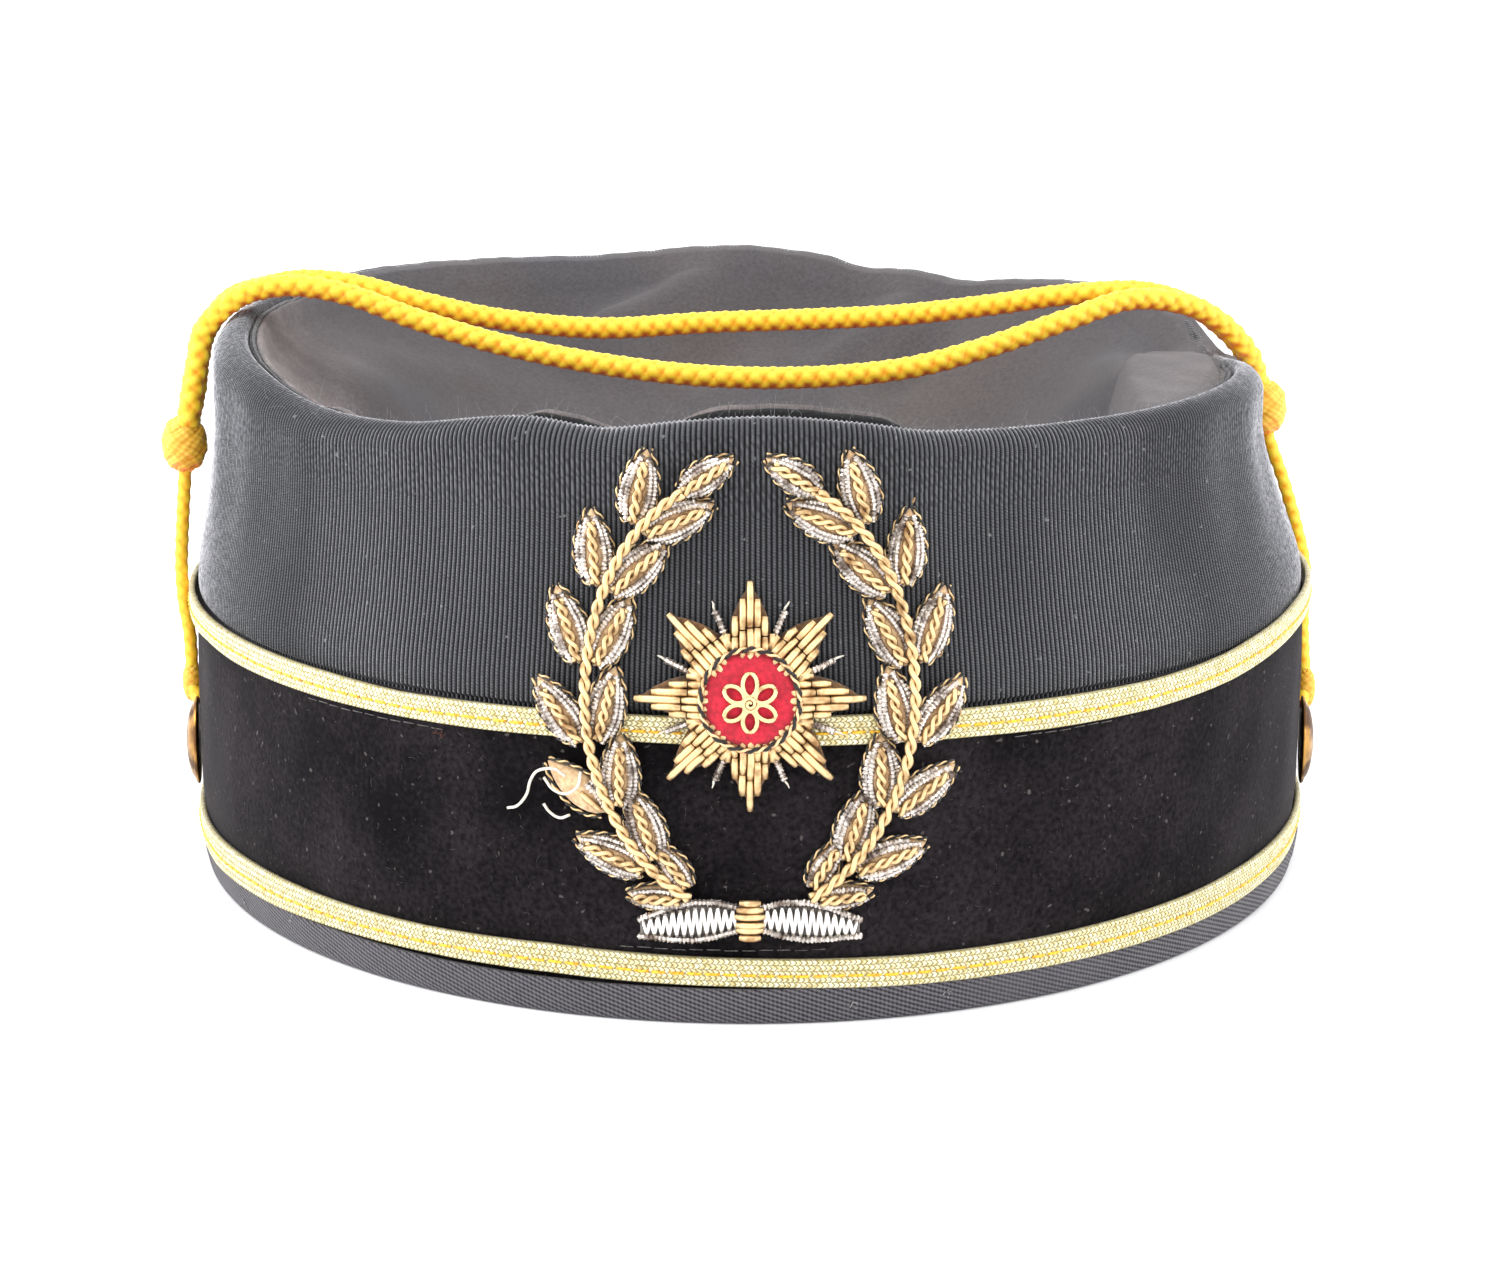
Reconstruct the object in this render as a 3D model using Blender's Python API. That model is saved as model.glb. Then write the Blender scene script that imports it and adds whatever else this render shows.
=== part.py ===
"""Soft ceremonial cap: oval ribbed crown with a sunk top, velvet band, gold braids, cap cord and emblem.

Metres, +Z up. The cap stands on its bottom binding at z = 0, with the emblem facing -Y.
Heights along the wall are measured from the floor. An inset is measured inward from the widest
oval, the velvet's outer face.
"""

import math

import bmesh
import bpy
import numpy as np

MM = 0.001

# Oval and heights
HALF_WIDTH = 87.5 * MM
HALF_DEPTH = 98.0 * MM
CROWN_HEIGHT = 82.0 * MM
VELVET_TOP = 42.5 * MM
BRAID_TOP_COVER = 0.6 * MM
BINDING_HEIGHT = 5.2 * MM
BINDING_LINING_HEIGHT = 8.0 * MM
HEM_TUCK = 1.7 * MM

# Cloth and trim thicknesses
WALL = 1.5 * MM
PANEL = 1.2 * MM
VELVET = 1.0 * MM
BRAID = 0.7 * MM
BRAID_WIDTH = 4.0 * MM
BINDING = 1.0 * MM
BINDING_ROUND = 0.7 * MM
GAP = 0.3 * MM

# Rim and sunk top
RIM_LEAN = 7.0 * MM
RIM_ROLL = 3.5 * MM
RIM_TURN = 5.0 * MM
SEAM_DROP = 1.2 * MM
SEAM_LIP = 0.6 * MM
SEAM_LIP_WIDTH = 1.0 * MM
BOWL_DEPTH = 28.0 * MM
BOWL_POWER = 3.2

# Buttons at the sides
BUTTON_RADIUS = 7.0 * MM
BUTTON_DOME = 2.1 * MM
BUTTON_FORWARD = 12.0 * MM
BUTTON_CLEARANCE = 0.45 * MM

# Emblem on the front
EMBLEM_WIDTH = 53.0 * MM
EMBLEM_CLEARANCE = 2.2 * MM
EMBLEM_GAP = 0.45 * MM
BRANCH_WIDTH = 9.5 * MM
BRANCH_PAD = 1.8 * MM
STAR_RADIUS = 15.5 * MM
STAR_PAD = 1.4 * MM
ROUNDEL_RADIUS = 6.5 * MM
ROUNDEL_PAD = 1.0 * MM
RIBBON_LENGTH = 30.0 * MM
RIBBON_HEIGHT = 5.0 * MM
RIBBON_PAD = 1.3 * MM
BRAID_OVERLAP = 1.5 * MM
STEP_REACH = 9.0 * MM

# Cap cord
CORD_RADIUS = 1.6 * MM
LEADER_RADIUS = 1.0 * MM
CORD_STEP = 7.5 * MM
LEADER_STEP = 5.0 * MM
SLIDE_RADIUS = 3.5 * MM
SLIDE_HALF_HEIGHT = 4.4 * MM
LOOP_RADIUS = 1.5 * MM
LOOP_HALF_HEIGHT = 3.2 * MM

# Detail of the meshes, and the sharpest edge that is still shaded smooth, in degrees
SEGMENTS = 56
BUTTON_SIDES = 16
KNOT_SIDES = 10
ROUNDEL_SIDES = 20
CORD_ROUNDING = 2
SHARP_EDGE = 40.0

# Side of the crown, bottom to top: height as a share of CROWN_HEIGHT, tuck as a share of HEM_TUCK,
# lean as a share of the rim's lean at that angle
SIDE_ROWS = [
    # height, tuck, lean
    (0.000, 1.00, 0.00),
    (0.060, 0.55, 0.00),
    (0.180, 0.00, 0.00),
    (0.560, 0.00, 0.02),
    (0.620, 0.00, 0.17),
    (0.680, 0.00, 0.42),
    (0.740, 0.00, 0.69),
    (0.790, 0.00, 0.88),
    (0.840, 0.00, 1.00),
]

# Rim around the oval: angle in degrees from +X (front is 270), height as a share of CROWN_HEIGHT,
# lean of RIM_LEAN, roll of RIM_ROLL, turn of RIM_TURN
RIM_ROWS = [
    # angle, height, lean, roll, turn
    (0.0, 0.927, 0.91, 1.05, 0.18),
    (10.0, 0.920, 0.90, 0.95, 0.30),
    (22.0, 0.970, 0.87, 0.60, 0.30),
    (34.0, 0.987, 0.84, 0.45, 0.28),
    (50.0, 0.976, 0.80, 0.40, 0.25),
    (61.0, 0.958, 0.72, 0.35, 0.25),
    (68.0, 0.974, 0.69, 0.35, 0.25),
    (74.5, 0.973, 0.64, 0.35, 0.28),
    (80.0, 0.998, 0.62, 0.35, 0.30),
    (92.0, 1.018, 0.60, 0.35, 0.30),
    (110.0, 1.004, 0.60, 0.35, 0.30),
    (124.0, 1.012, 0.58, 0.38, 0.28),
    (142.0, 1.020, 0.50, 0.45, 0.22),
    (162.0, 1.018, 0.42, 0.65, 0.16),
    (178.0, 1.017, 0.37, 0.85, 0.12),
    (192.0, 0.998, 0.37, 0.85, 0.12),
    (205.0, 0.978, 0.38, 0.80, 0.12),
    (220.0, 0.950, 0.38, 0.70, 0.15),
    (234.0, 0.953, 0.38, 0.50, 0.12),
    (248.0, 0.986, 0.36, 0.45, 0.08),
    (256.0, 0.974, 0.36, 0.60, 0.08),
    (264.0, 0.992, 0.36, 0.22, 0.06),
    (272.0, 1.000, 0.36, 0.15, 0.06),
    (280.0, 0.987, 0.38, 0.18, 0.06),
    (288.0, 0.965, 0.42, 0.45, 0.08),
    (310.0, 0.956, 0.56, 0.45, 0.12),
    (332.0, 0.954, 0.76, 0.40, 0.06),
    (345.0, 0.951, 0.84, 0.62, 0.05),
    (352.0, 0.943, 0.88, 0.85, 0.07),
]

# Folds and dents of the sunk top: angle in degrees and radius as a share of the seam's,
# height as a share of BOWL_DEPTH, spread around in degrees and spread in radius as a share
TOP_FOLDS = [
    # angle, radius, height, around, along
    (8.0, 0.84, 0.34, 16.0, 0.10),
    (342.0, 0.72, -0.10, 14.0, 0.12),
    (40.0, 0.70, -0.12, 14.0, 0.14),
    (64.0, 0.90, 0.14, 7.0, 0.08),
    (80.0, 0.86, -0.08, 7.0, 0.09),
    (98.0, 0.88, 0.14, 6.0, 0.10),
    (110.0, 0.82, 0.12, 7.0, 0.10),
    (124.0, 0.84, -0.08, 9.0, 0.12),
    (172.0, 0.80, 0.16, 14.0, 0.10),
    (205.0, 0.66, -0.10, 16.0, 0.14),
    (250.0, 0.70, 0.10, 18.0, 0.12),
    (292.0, 0.66, -0.08, 18.0, 0.14),
]

# Rings of the sunk top from the seam to the centre, as shares of the seam's radius
TOP_RINGS = (0.965, 0.92, 0.865, 0.80, 0.72, 0.62, 0.48, 0.28, 0.10)

# How sharply the folds die out towards the seam
FOLD_FADE = 12

# Rolled rim: degrees round the roll from the side of the crown to its top
RIM_ARC = (0.0, 30.0, 60.0, 90.0)

# Button from its back to its crown: radius as a share of BUTTON_RADIUS, height as a share of BUTTON_DOME
BUTTON_RINGS = [
    # radius, height
    (1.00, 0.00),
    (1.00, 0.13),
    (0.94, 0.29),
    (0.87, 0.55),
    (0.72, 0.75),
    (0.50, 0.89),
    (0.23, 0.98),
]

# Knot from one end to the other: place as a share of its half height, radius as a share of its radius
KNOT_RINGS = [
    # place, radius
    (-1.00, 0.60),
    (-0.60, 0.89),
    (-0.20, 0.99),
    (0.20, 0.99),
    (0.60, 0.89),
    (1.00, 0.60),
]

# Wreath branch: its start and end in degrees round the wreath, its leaves, and how deep the notch
# between two leaves cuts into its half width
BRANCH_START = -64.0
BRANCH_END = 76.0
BRANCH_LEAVES = 7
BRANCH_STATIONS = 28
BRANCH_NOTCH = 0.40

# Branch width along its length: place as a share of the length, width as a share of BRANCH_WIDTH
BRANCH_TAPER = [
    # place, width
    (0.00, 0.35),
    (0.13, 1.00),
    (0.80, 1.00),
    (1.00, 0.12),
]

# Padding across a branch and across the ribbon: place as a share of the half width, height as a share
# of the pad
BRANCH_SECTION = ((-1.0, 0.35), (-0.5, 0.85), (0.0, 1.0), (0.5, 0.85), (1.0, 0.35))
RIBBON_SECTION = ((-1.0, 0.5), (0.0, 1.0), (1.0, 0.5))

# Ribbon bow from its knot outward: place as a share of the half length, height as a share of
# RIBBON_HEIGHT, middle as a share of RIBBON_HEIGHT above the emblem's foot, pad as a share of RIBBON_PAD
RIBBON_ROWS = [
    # place, height, middle, pad
    (0.00, 0.45, 0.75, 1.00),
    (0.15, 0.73, 0.74, 0.88),
    (0.30, 0.99, 0.72, 0.61),
    (0.50, 1.10, 0.66, 0.40),
    (0.70, 0.93, 0.58, 0.61),
    (0.85, 0.68, 0.50, 0.88),
    (1.00, 0.45, 0.40, 1.00),
]

# Star burst: its rays, the steps from one ray to the next, how far out a valley lies as a share of the
# radius, and its rings as a share of the radius with their height as a share of STAR_PAD
STAR_POINTS = 8
STAR_RAY_STEPS = 4
STAR_VALLEY = 0.52
STAR_RINGS = ((0.30, 1.00), (0.60, 0.95), (0.80, 0.75), (1.00, 0.35))

# Felt disc: its rings as a share of the radius with their height as a share of ROUNDEL_PAD
ROUNDEL_RINGS = ((0.35, 1.00), (0.80, 0.90), (1.00, 0.45))

# Routes of the cords in millimetres, from the oval's centre: x, y, height
STRAND_BACK = [
    (-88.0, -3.8, 68.6), (-87.3, -3.0, 72.2), (-86.9, -2.0, 76.0), (-85.8, -0.4, 80.5), (-82.0, 1.2, 85.3),
    (-76.2, 2.0, 87.2), (-70.0, 2.2, 88.1), (-62.0, 2.6, 87.2), (-52.0, 3.6, 84.4), (-40.0, 6.0, 81.4),
    (-24.0, 8.6, 79.6), (-7.0, 10.0, 80.3), (9.0, 10.2, 80.8), (24.0, 9.4, 81.6), (38.0, 7.6, 83.4),
    (50.0, 6.4, 85.2), (62.0, 6.4, 85.8), (70.2, 7.8, 83.5), (75.2, 10.0, 80.3), (79.5, 12.2, 76.0),
    (81.2, 13.8, 72.1),
]
STRAND_FRONT = [
    (-87.9, -7.4, 68.6), (-87.4, -6.8, 72.0), (-86.6, -5.7, 76.4), (-85.5, -4.2, 81.2), (-81.2, -2.7, 85.4),
    (-76.4, -1.9, 87.3), (-70.0, -1.6, 87.6), (-62.0, -2.0, 86.0), (-52.0, -3.8, 82.6), (-39.0, -6.6, 79.2),
    (-23.0, -9.6, 76.5), (-7.0, -11.8, 75.0), (9.0, -12.0, 74.8), (24.0, -10.2, 75.9), (37.0, -7.2, 78.8),
    (50.0, -3.0, 82.6), (60.0, 0.8, 85.2), (69.0, 3.8, 84.1), (75.0, 6.2, 81.0), (79.8, 8.6, 76.2),
    (81.8, 10.2, 72.1),
]
LEADER_LEFT = [
    (-89.2, -5.6, 58.4), (-89.9, -5.2, 50.9), (-90.4, -5.1, 43.5), (-90.2, -5.2, 38.0), (-89.5, -5.4, 33.0),
    (-89.3, -5.6, 28.5),
]
LEADER_RIGHT = [
    (84.4, 11.4, 61.2), (86.8, 10.0, 54.5), (88.8, 8.0, 47.5), (89.9, 5.6, 42.0), (89.8, 4.0, 38.6),
    (89.2, 0.6, 33.0), (89.0, -3.4, 27.1),
]
SLIDE_LEFT = (-89.0, -6.0, 63.4)
SLIDE_RIGHT = (83.6, 12.0, 66.2)
LOOP_LEFT = (-89.3, -5.8, 24.8)
LOOP_RIGHT = (89.2, -4.8, 23.4)

BRAID_UPPER_TOP = VELVET_TOP + BRAID_TOP_COVER
BRAID_UPPER_BOTTOM = BRAID_UPPER_TOP - BRAID_WIDTH
BRAID_LOWER_BOTTOM = BINDING_HEIGHT + GAP
BRAID_LOWER_TOP = BRAID_LOWER_BOTTOM + BRAID_WIDTH
CLOTH_BOTTOM = BINDING + GAP
WALL_INSET = VELVET + GAP
EMBLEM_LOW = BRAID_LOWER_TOP + EMBLEM_CLEARANCE
EMBLEM_HIGH = CROWN_HEIGHT - EMBLEM_CLEARANCE
EMBLEM_MIDDLE = (EMBLEM_LOW + EMBLEM_HIGH) / 2
EMBLEM_HALF_HEIGHT = (EMBLEM_HIGH - EMBLEM_LOW) / 2


def clear_scene():
    for item in list(bpy.data.objects):
        bpy.data.objects.remove(item, do_unlink=True)


def around(column, angle):
    """A column of RIM_ROWS at an angle, as a smooth closed curve."""
    angles = [row[0] for row in RIM_ROWS]
    values = [row[column] for row in RIM_ROWS]
    count = len(angles)
    angle = (angle - angles[0]) % 360.0 + angles[0]
    index = max(i for i in range(count) if angles[i] <= angle)

    def knot(i):
        return angles[i % count] + 360.0 * (i // count), values[i % count]

    (a0, v0), (a1, v1), (a2, v2), (a3, v3) = (knot(index + step) for step in (-1, 0, 1, 2))
    share = (angle - a1) / (a2 - a1)
    slope_in = (v2 - v0) / (a2 - a0) * (a2 - a1)
    slope_out = (v3 - v1) / (a3 - a1) * (a2 - a1)
    return (
        (2 * share**3 - 3 * share**2 + 1) * v1
        + (share**3 - 2 * share**2 + share) * slope_in
        + (3 * share**2 - 2 * share**3) * v2
        + (share**3 - share**2) * slope_out
    )


def rim(angle):
    """Height, lean, roll and turn of the rim at an angle."""
    height = around(1, angle) * CROWN_HEIGHT
    lean = around(2, angle) * RIM_LEAN
    roll = WALL + around(3, angle) * RIM_ROLL
    turn = around(4, angle) * RIM_TURN
    return height, lean, roll, turn


def inset_at(angle, height):
    """Inset of the velvet's outer line at an angle and height, carried up the crown."""
    heights = [row[0] * CROWN_HEIGHT for row in SIDE_ROWS]
    tuck = np.interp(height, heights, [row[1] for row in SIDE_ROWS]) * HEM_TUCK
    lean = np.interp(height, heights, [row[2] for row in SIDE_ROWS]) * around(2, angle) * RIM_LEAN
    return float(tuck + lean)


def levels(low, high):
    """Heights at which a wall has an edge between two heights."""
    knots = [row[0] * CROWN_HEIGHT for row in SIDE_ROWS]
    return [low] + [knot for knot in knots if low + GAP < knot < high - GAP] + [high]


def oval_point(angle, inset, height):
    turn = math.radians(angle)
    return (
        (HALF_WIDTH - inset) * math.cos(turn),
        (HALF_DEPTH - inset) * math.sin(turn),
        height,
    )


def oval_angles():
    return [360.0 * step / SEGMENTS for step in range(SEGMENTS)]


def circle_turns(sides):
    return [2 * math.pi * side / sides for side in range(sides)]


def loft(name, rows, wrap=False):
    """One closed body through rows of points. Each row is a closed loop, and the ends are fans or meet."""
    mesh = bpy.data.meshes.new(name)
    bm = bmesh.new()
    loops = [[bm.verts.new(point) for point in row] for row in rows]
    count = len(loops[0])
    pairs = list(zip(loops, loops[1:]))
    if wrap:
        pairs.append((loops[-1], loops[0]))
    for near, far in pairs:
        for step in range(count):
            after = (step + 1) % count
            bm.faces.new((near[step], near[after], far[after], far[step]))
    if not wrap:
        for row in (loops[0], loops[-1]):
            middle = bm.verts.new([sum(vert.co[axis] for vert in row) / count for axis in range(3)])
            for step in range(count):
                bm.faces.new((row[step], row[(step + 1) % count], middle))
    bmesh.ops.recalc_face_normals(bm, faces=bm.faces)
    bm.to_mesh(mesh)
    bm.free()
    item = bpy.data.objects.new(name, mesh)
    bpy.context.collection.objects.link(item)
    mesh.shade_smooth()
    mesh.set_sharp_from_angle(angle=math.radians(SHARP_EDGE))
    return item


def ring_band(name, sections):
    """A closed ring whose cross-section is given at each angle as (inset, height) points."""
    rows = zip(*[[oval_point(angle, *point) for point in sections(angle)] for angle in oval_angles()])
    return loft(name, list(rows), wrap=True)


def wall_strip(angle, low, high, outer, thickness):
    """Cross-section of a strip along the wall, its outer face standing out from the velvet by outer."""
    heights = levels(low, high)
    front = [(inset_at(angle, height) - outer, height) for height in heights]
    back = [(inset_at(angle, height) - outer + thickness, height) for height in reversed(heights)]
    return front + back


def build_crown_wall():
    def section(angle):
        height, lean, roll, turn = rim(angle)
        top = SIDE_ROWS[-1][0] * CROWN_HEIGHT
        straight = [(inset_at(angle, z) + WALL_INSET, z) for z in levels(CLOTH_BOTTOM, top)]
        centre = (lean + WALL_INSET + roll, height - roll)
        arc = [math.radians(degrees) for degrees in RIM_ARC]
        outer = [(centre[0] - roll * math.cos(a), centre[1] + roll * math.sin(a)) for a in arc]
        inner = [
            (centre[0] - (roll - WALL) * math.cos(a), centre[1] + (roll - WALL) * math.sin(a))
            for a in (arc[3], arc[2], arc[0])
        ]
        seam = (centre[0] + turn + GAP, height - SEAM_DROP)
        under = (seam[0], seam[1] - WALL)
        inside = [(inset + WALL, z) for inset, z in reversed(straight[::2])]
        return straight + outer + [seam, under] + inner + inside

    return ring_band("crown_wall", section)


def seam_line(angle):
    """Inset and height of the seam between the wall's turned edge and the top panel."""
    height, lean, roll, turn = rim(angle)
    return lean + WALL_INSET + roll + turn + 2 * GAP, height - SEAM_DROP


def fold_height(angle, share):
    total = 0.0
    for centre, radius, height, spread, along in TOP_FOLDS:
        off = ((angle - centre + 180.0) % 360.0 - 180.0) / spread
        total += height * math.exp(-off * off - ((share - radius) / along) ** 2)
    return total * BOWL_DEPTH


def top_point(angle, share):
    """A point of the sunk panel's upper face, at a share of the way from its centre to the seam."""
    inset, height = seam_line(angle)
    x, y, _ = oval_point(angle, inset, height)
    mean = CROWN_HEIGHT - SEAM_DROP
    sink = BOWL_DEPTH * (1.0 - share**BOWL_POWER)
    fold = fold_height(angle, share) * (1.0 - share**FOLD_FADE)
    return np.array((x * share, y * share, mean + (height - mean) * share**2 - sink + fold))


def top_normal(angle, share):
    """Direction square to the sunk panel, over one segment to each side and as far in and out."""
    step_angle = 360.0 / SEGMENTS
    step_share = 1.0 / SEGMENTS
    across = top_point(angle + step_angle, share) - top_point(angle - step_angle, share)
    along = top_point(angle, share + step_share) - top_point(angle, share - step_share)
    normal = np.cross(along, across)
    return normal / np.linalg.norm(normal)


def build_crown_top():
    angles = oval_angles()

    def seam_ring(inward, up):
        seams = [(angle, *seam_line(angle)) for angle in angles]
        return [oval_point(angle, inset + inward, height + up) for angle, inset, height in seams]

    def under_point(angle, share):
        return tuple(top_point(angle, share) - PANEL * top_normal(angle, share))

    lip = seam_ring(0.0, SEAM_LIP)
    ledge = seam_ring(SEAM_LIP_WIDTH, SEAM_LIP)
    edge = seam_ring(0.0, -PANEL)
    upper = [[tuple(top_point(angle, share)) for angle in angles] for share in reversed(TOP_RINGS)]
    lower = [[under_point(angle, share) for angle in angles] for share in TOP_RINGS[::2]]
    return loft("crown_top", upper + [ledge, lip, edge] + lower)


def build_velvet_band():
    return ring_band("velvet_band", lambda angle: wall_strip(angle, CLOTH_BOTTOM, VELVET_TOP, 0.0, VELVET))


def build_braid(name, low):
    return ring_band(name, lambda angle: wall_strip(angle, low, low + BRAID_WIDTH, BRAID + GAP, BRAID))


def build_hem_binding():
    outer = BINDING + GAP
    lining = WALL_INSET + WALL + GAP

    def section(angle):
        def at(offset, height):
            return inset_at(angle, height) + offset, height

        return [
            at(-outer, BINDING_HEIGHT),
            at(-outer, BINDING_ROUND),
            at(-outer + BINDING_ROUND, 0.0),
            at(lining + BINDING - BINDING_ROUND, 0.0),
            at(lining + BINDING, BINDING_ROUND),
            at(lining + BINDING, BINDING_LINING_HEIGHT),
            at(lining, BINDING_LINING_HEIGHT),
            at(lining, BINDING),
            at(-GAP, BINDING),
            at(-GAP, BINDING_HEIGHT),
        ]

    return ring_band("hem_binding", section)


def smooth_route(points, step):
    """Points along a smooth curve through a cord's chosen points, about one step apart."""
    knots = [np.array(point) * MM for point in points]
    knots = [2 * knots[0] - knots[1]] + knots + [2 * knots[-1] - knots[-2]]
    line = []
    for index in range(1, len(knots) - 2):
        p0, p1, p2, p3 = knots[index - 1 : index + 3]
        pieces = max(1, round(float(np.linalg.norm(p2 - p1)) / step))
        for piece in range(pieces):
            t = piece / pieces
            line.append(
                0.5 * (2 * p1 + (p2 - p0) * t + (2 * p0 - 5 * p1 + 4 * p2 - p3) * t**2
                       + (3 * p1 - p0 - 3 * p2 + p3) * t**3)
            )
    line.append(knots[-2])
    return line


def build_cord(name, points, radius, step):
    curve = bpy.data.curves.new(name, "CURVE")
    curve.dimensions = "3D"
    curve.bevel_depth = radius
    curve.bevel_resolution = CORD_ROUNDING
    curve.use_fill_caps = True
    line = smooth_route(points, step)
    spline = curve.splines.new("POLY")
    spline.points.add(len(line) - 1)
    for point, place in zip(spline.points, line):
        point.co = (*place, 1.0)
    item = bpy.data.objects.new(name, curve)
    bpy.context.collection.objects.link(item)
    return item


def build_knot(name, centre, radius, half_height):
    """A plump knot, round from above and flattened at its two ends."""
    item = loft(name, [
        [(radius * wide * math.cos(turn), radius * wide * math.sin(turn), place * half_height)
         for turn in circle_turns(KNOT_SIDES)]
        for place, wide in KNOT_RINGS
    ])
    item.location = [value * MM for value in centre]
    return item


def build_button(name, side):
    """A domed button that lies flat on the velvet, its axis square to the side."""
    item = loft(name, [
        [(BUTTON_DOME * lift, BUTTON_RADIUS * wide * math.cos(turn), BUTTON_RADIUS * wide * math.sin(turn))
         for turn in circle_turns(BUTTON_SIDES)]
        for wide, lift in BUTTON_RINGS
    ])
    angle = math.degrees(math.asin(-BUTTON_FORWARD / HALF_DEPTH))
    angle = angle if side > 0 else 180.0 - angle
    height = BRAID_LOWER_TOP + GAP + BUTTON_RADIUS
    turn = math.radians(angle)
    square = math.atan2(HALF_WIDTH * math.sin(turn), HALF_DEPTH * math.cos(turn))
    item.location = oval_point(angle, inset_at(angle, height) - BUTTON_CLEARANCE, height)
    item.rotation_euler = (0.0, 0.0, square)
    return item


def smooth_step(share):
    share = min(max(share, 0.0), 1.0)
    return share * share * (3.0 - 2.0 * share)


def backing(height):
    """How far from the velvet's line the emblem's back stands, so that it passes over the upper braid."""
    onto_braid = smooth_step((height - BRAID_UPPER_BOTTOM + BRAID_OVERLAP) / STEP_REACH + 1.0)
    onto_wall = smooth_step((height - BRAID_UPPER_TOP - BRAID_OVERLAP) / STEP_REACH)
    return EMBLEM_GAP + (BRAID + GAP) * onto_braid - (BRAID + GAP + WALL_INSET) * onto_wall


def front_point(x, height, lift):
    """A point over the cap's front at a sideways distance and height, lifted off the emblem's back."""
    angle = -math.degrees(math.acos(x / HALF_WIDTH))
    stand = backing(height) + lift - inset_at(angle, height)
    y = -(HALF_DEPTH + stand) * math.sqrt(1.0 - (x / (HALF_WIDTH + stand)) ** 2)
    return (x, y, height)


def padded_row(side, spine, out, half, section, pad):
    """Cross-section of a padded strip on the front: its raised face and, going back, its flat back."""
    front = [(spine + out * half * step, pad * lift) for step, lift in section]
    back = [(place, 0.0) for place, _ in reversed(front)]
    return [front_point(side * float(place[0]), float(place[1]), lift) for place, lift in front + back]


def build_branch(name, side):
    """Half of an oval wreath: a leafy crescent from the ribbon at the bottom up to the open top."""
    middle_x = (EMBLEM_WIDTH - BRANCH_WIDTH) / 2
    middle_z = EMBLEM_HALF_HEIGHT - BRANCH_WIDTH / 2
    places, widths = zip(*BRANCH_TAPER)
    rows = []
    for station in range(BRANCH_STATIONS + 1):
        share = station / BRANCH_STATIONS
        turn = math.radians(BRANCH_START + (BRANCH_END - BRANCH_START) * share)
        notch = BRANCH_NOTCH / 2 * (1.0 - math.cos(2 * math.pi * share * BRANCH_LEAVES))
        taper = float(np.interp(share, places, widths))
        out = np.array((math.cos(turn) / middle_x, math.sin(turn) / middle_z))
        out = out / np.linalg.norm(out)
        spine = np.array((middle_x * math.cos(turn), EMBLEM_MIDDLE + middle_z * math.sin(turn)))
        half = BRANCH_WIDTH / 2 * (1.0 - notch) * taper
        pad = BRANCH_PAD * (1.0 + taper) / 2
        rows.append(padded_row(side, spine, out, half, BRANCH_SECTION, pad))
    return loft(name, rows)


def star_ring(share, lift):
    """A ring of the rayed star, at a share of its radius and lifted off the emblem's back."""
    steps = STAR_POINTS * STAR_RAY_STEPS
    points = []
    for step, turn in enumerate(circle_turns(steps)):
        phase = step / STAR_RAY_STEPS % 1.0
        reach = 1.0 - (1.0 - STAR_VALLEY) * (1.0 - abs(1.0 - 2.0 * phase)) * share
        radius = STAR_RADIUS * share * reach
        points.append(front_point(radius * math.sin(turn), EMBLEM_MIDDLE + radius * math.cos(turn), lift))
    return points


def build_star():
    rows = [star_ring(share, STAR_PAD * lift) for share, lift in STAR_RINGS]
    rows += [star_ring(share, 0.0) for share, _ in reversed(STAR_RINGS)]
    return loft("emblem_star", rows)


def build_roundel():
    """A felt disc laid on the star's middle."""
    base = STAR_PAD + GAP

    def ring(share, lift):
        radius = ROUNDEL_RADIUS * share
        return [
            front_point(radius * math.cos(turn), EMBLEM_MIDDLE + radius * math.sin(turn), base + lift)
            for turn in circle_turns(ROUNDEL_SIDES)
        ]

    rows = [ring(share, ROUNDEL_PAD * lift) for share, lift in ROUNDEL_RINGS]
    rows += [ring(share, 0.0) for share, _ in reversed(ROUNDEL_RINGS)]
    return loft("emblem_roundel", rows)


def build_ribbon():
    """A ribbon bow across the foot of the wreath, pinched at its knot."""
    left = [(-place, *shares) for place, *shares in reversed(RIBBON_ROWS[1:])]
    up = np.array((0.0, 1.0))
    rows = []
    for place, height, middle, pad in left + RIBBON_ROWS:
        spine = np.array((RIBBON_LENGTH / 2 * place, EMBLEM_LOW + RIBBON_HEIGHT * middle))
        half = RIBBON_HEIGHT / 2 * height
        rows.append(padded_row(1, spine, up, half, RIBBON_SECTION, RIBBON_PAD * pad))
    return loft("emblem_ribbon", rows)


def material(name, colour, roughness, metallic=0.0):
    shade = bpy.data.materials.new(name)
    shade.use_nodes = True
    surface = shade.node_tree.nodes["Principled BSDF"]
    surface.inputs["Base Color"].default_value = (*colour, 1.0)
    surface.inputs["Roughness"].default_value = roughness
    surface.inputs["Metallic"].default_value = metallic
    return shade


def ribbed_cloth():
    return material("ribbed_cloth", (0.050, 0.054, 0.058), 0.95)


def plain_cloth():
    return material("plain_cloth", (0.095, 0.090, 0.092), 0.95)


def velvet():
    return material("velvet", (0.006, 0.005, 0.005), 1.0)


def gold_braid():
    return material("gold_braid", (0.75, 0.62, 0.24), 0.45, 0.6)


def twill():
    return material("twill", (0.045, 0.043, 0.048), 0.95)


def yellow_cord():
    return material("yellow_cord", (0.95, 0.50, 0.01), 0.7)


def brass():
    return material("brass", (0.22, 0.13, 0.04), 0.4, 1.0)


def gold_bullion():
    return material("gold_bullion", (0.55, 0.37, 0.14), 0.35, 0.9)


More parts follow.
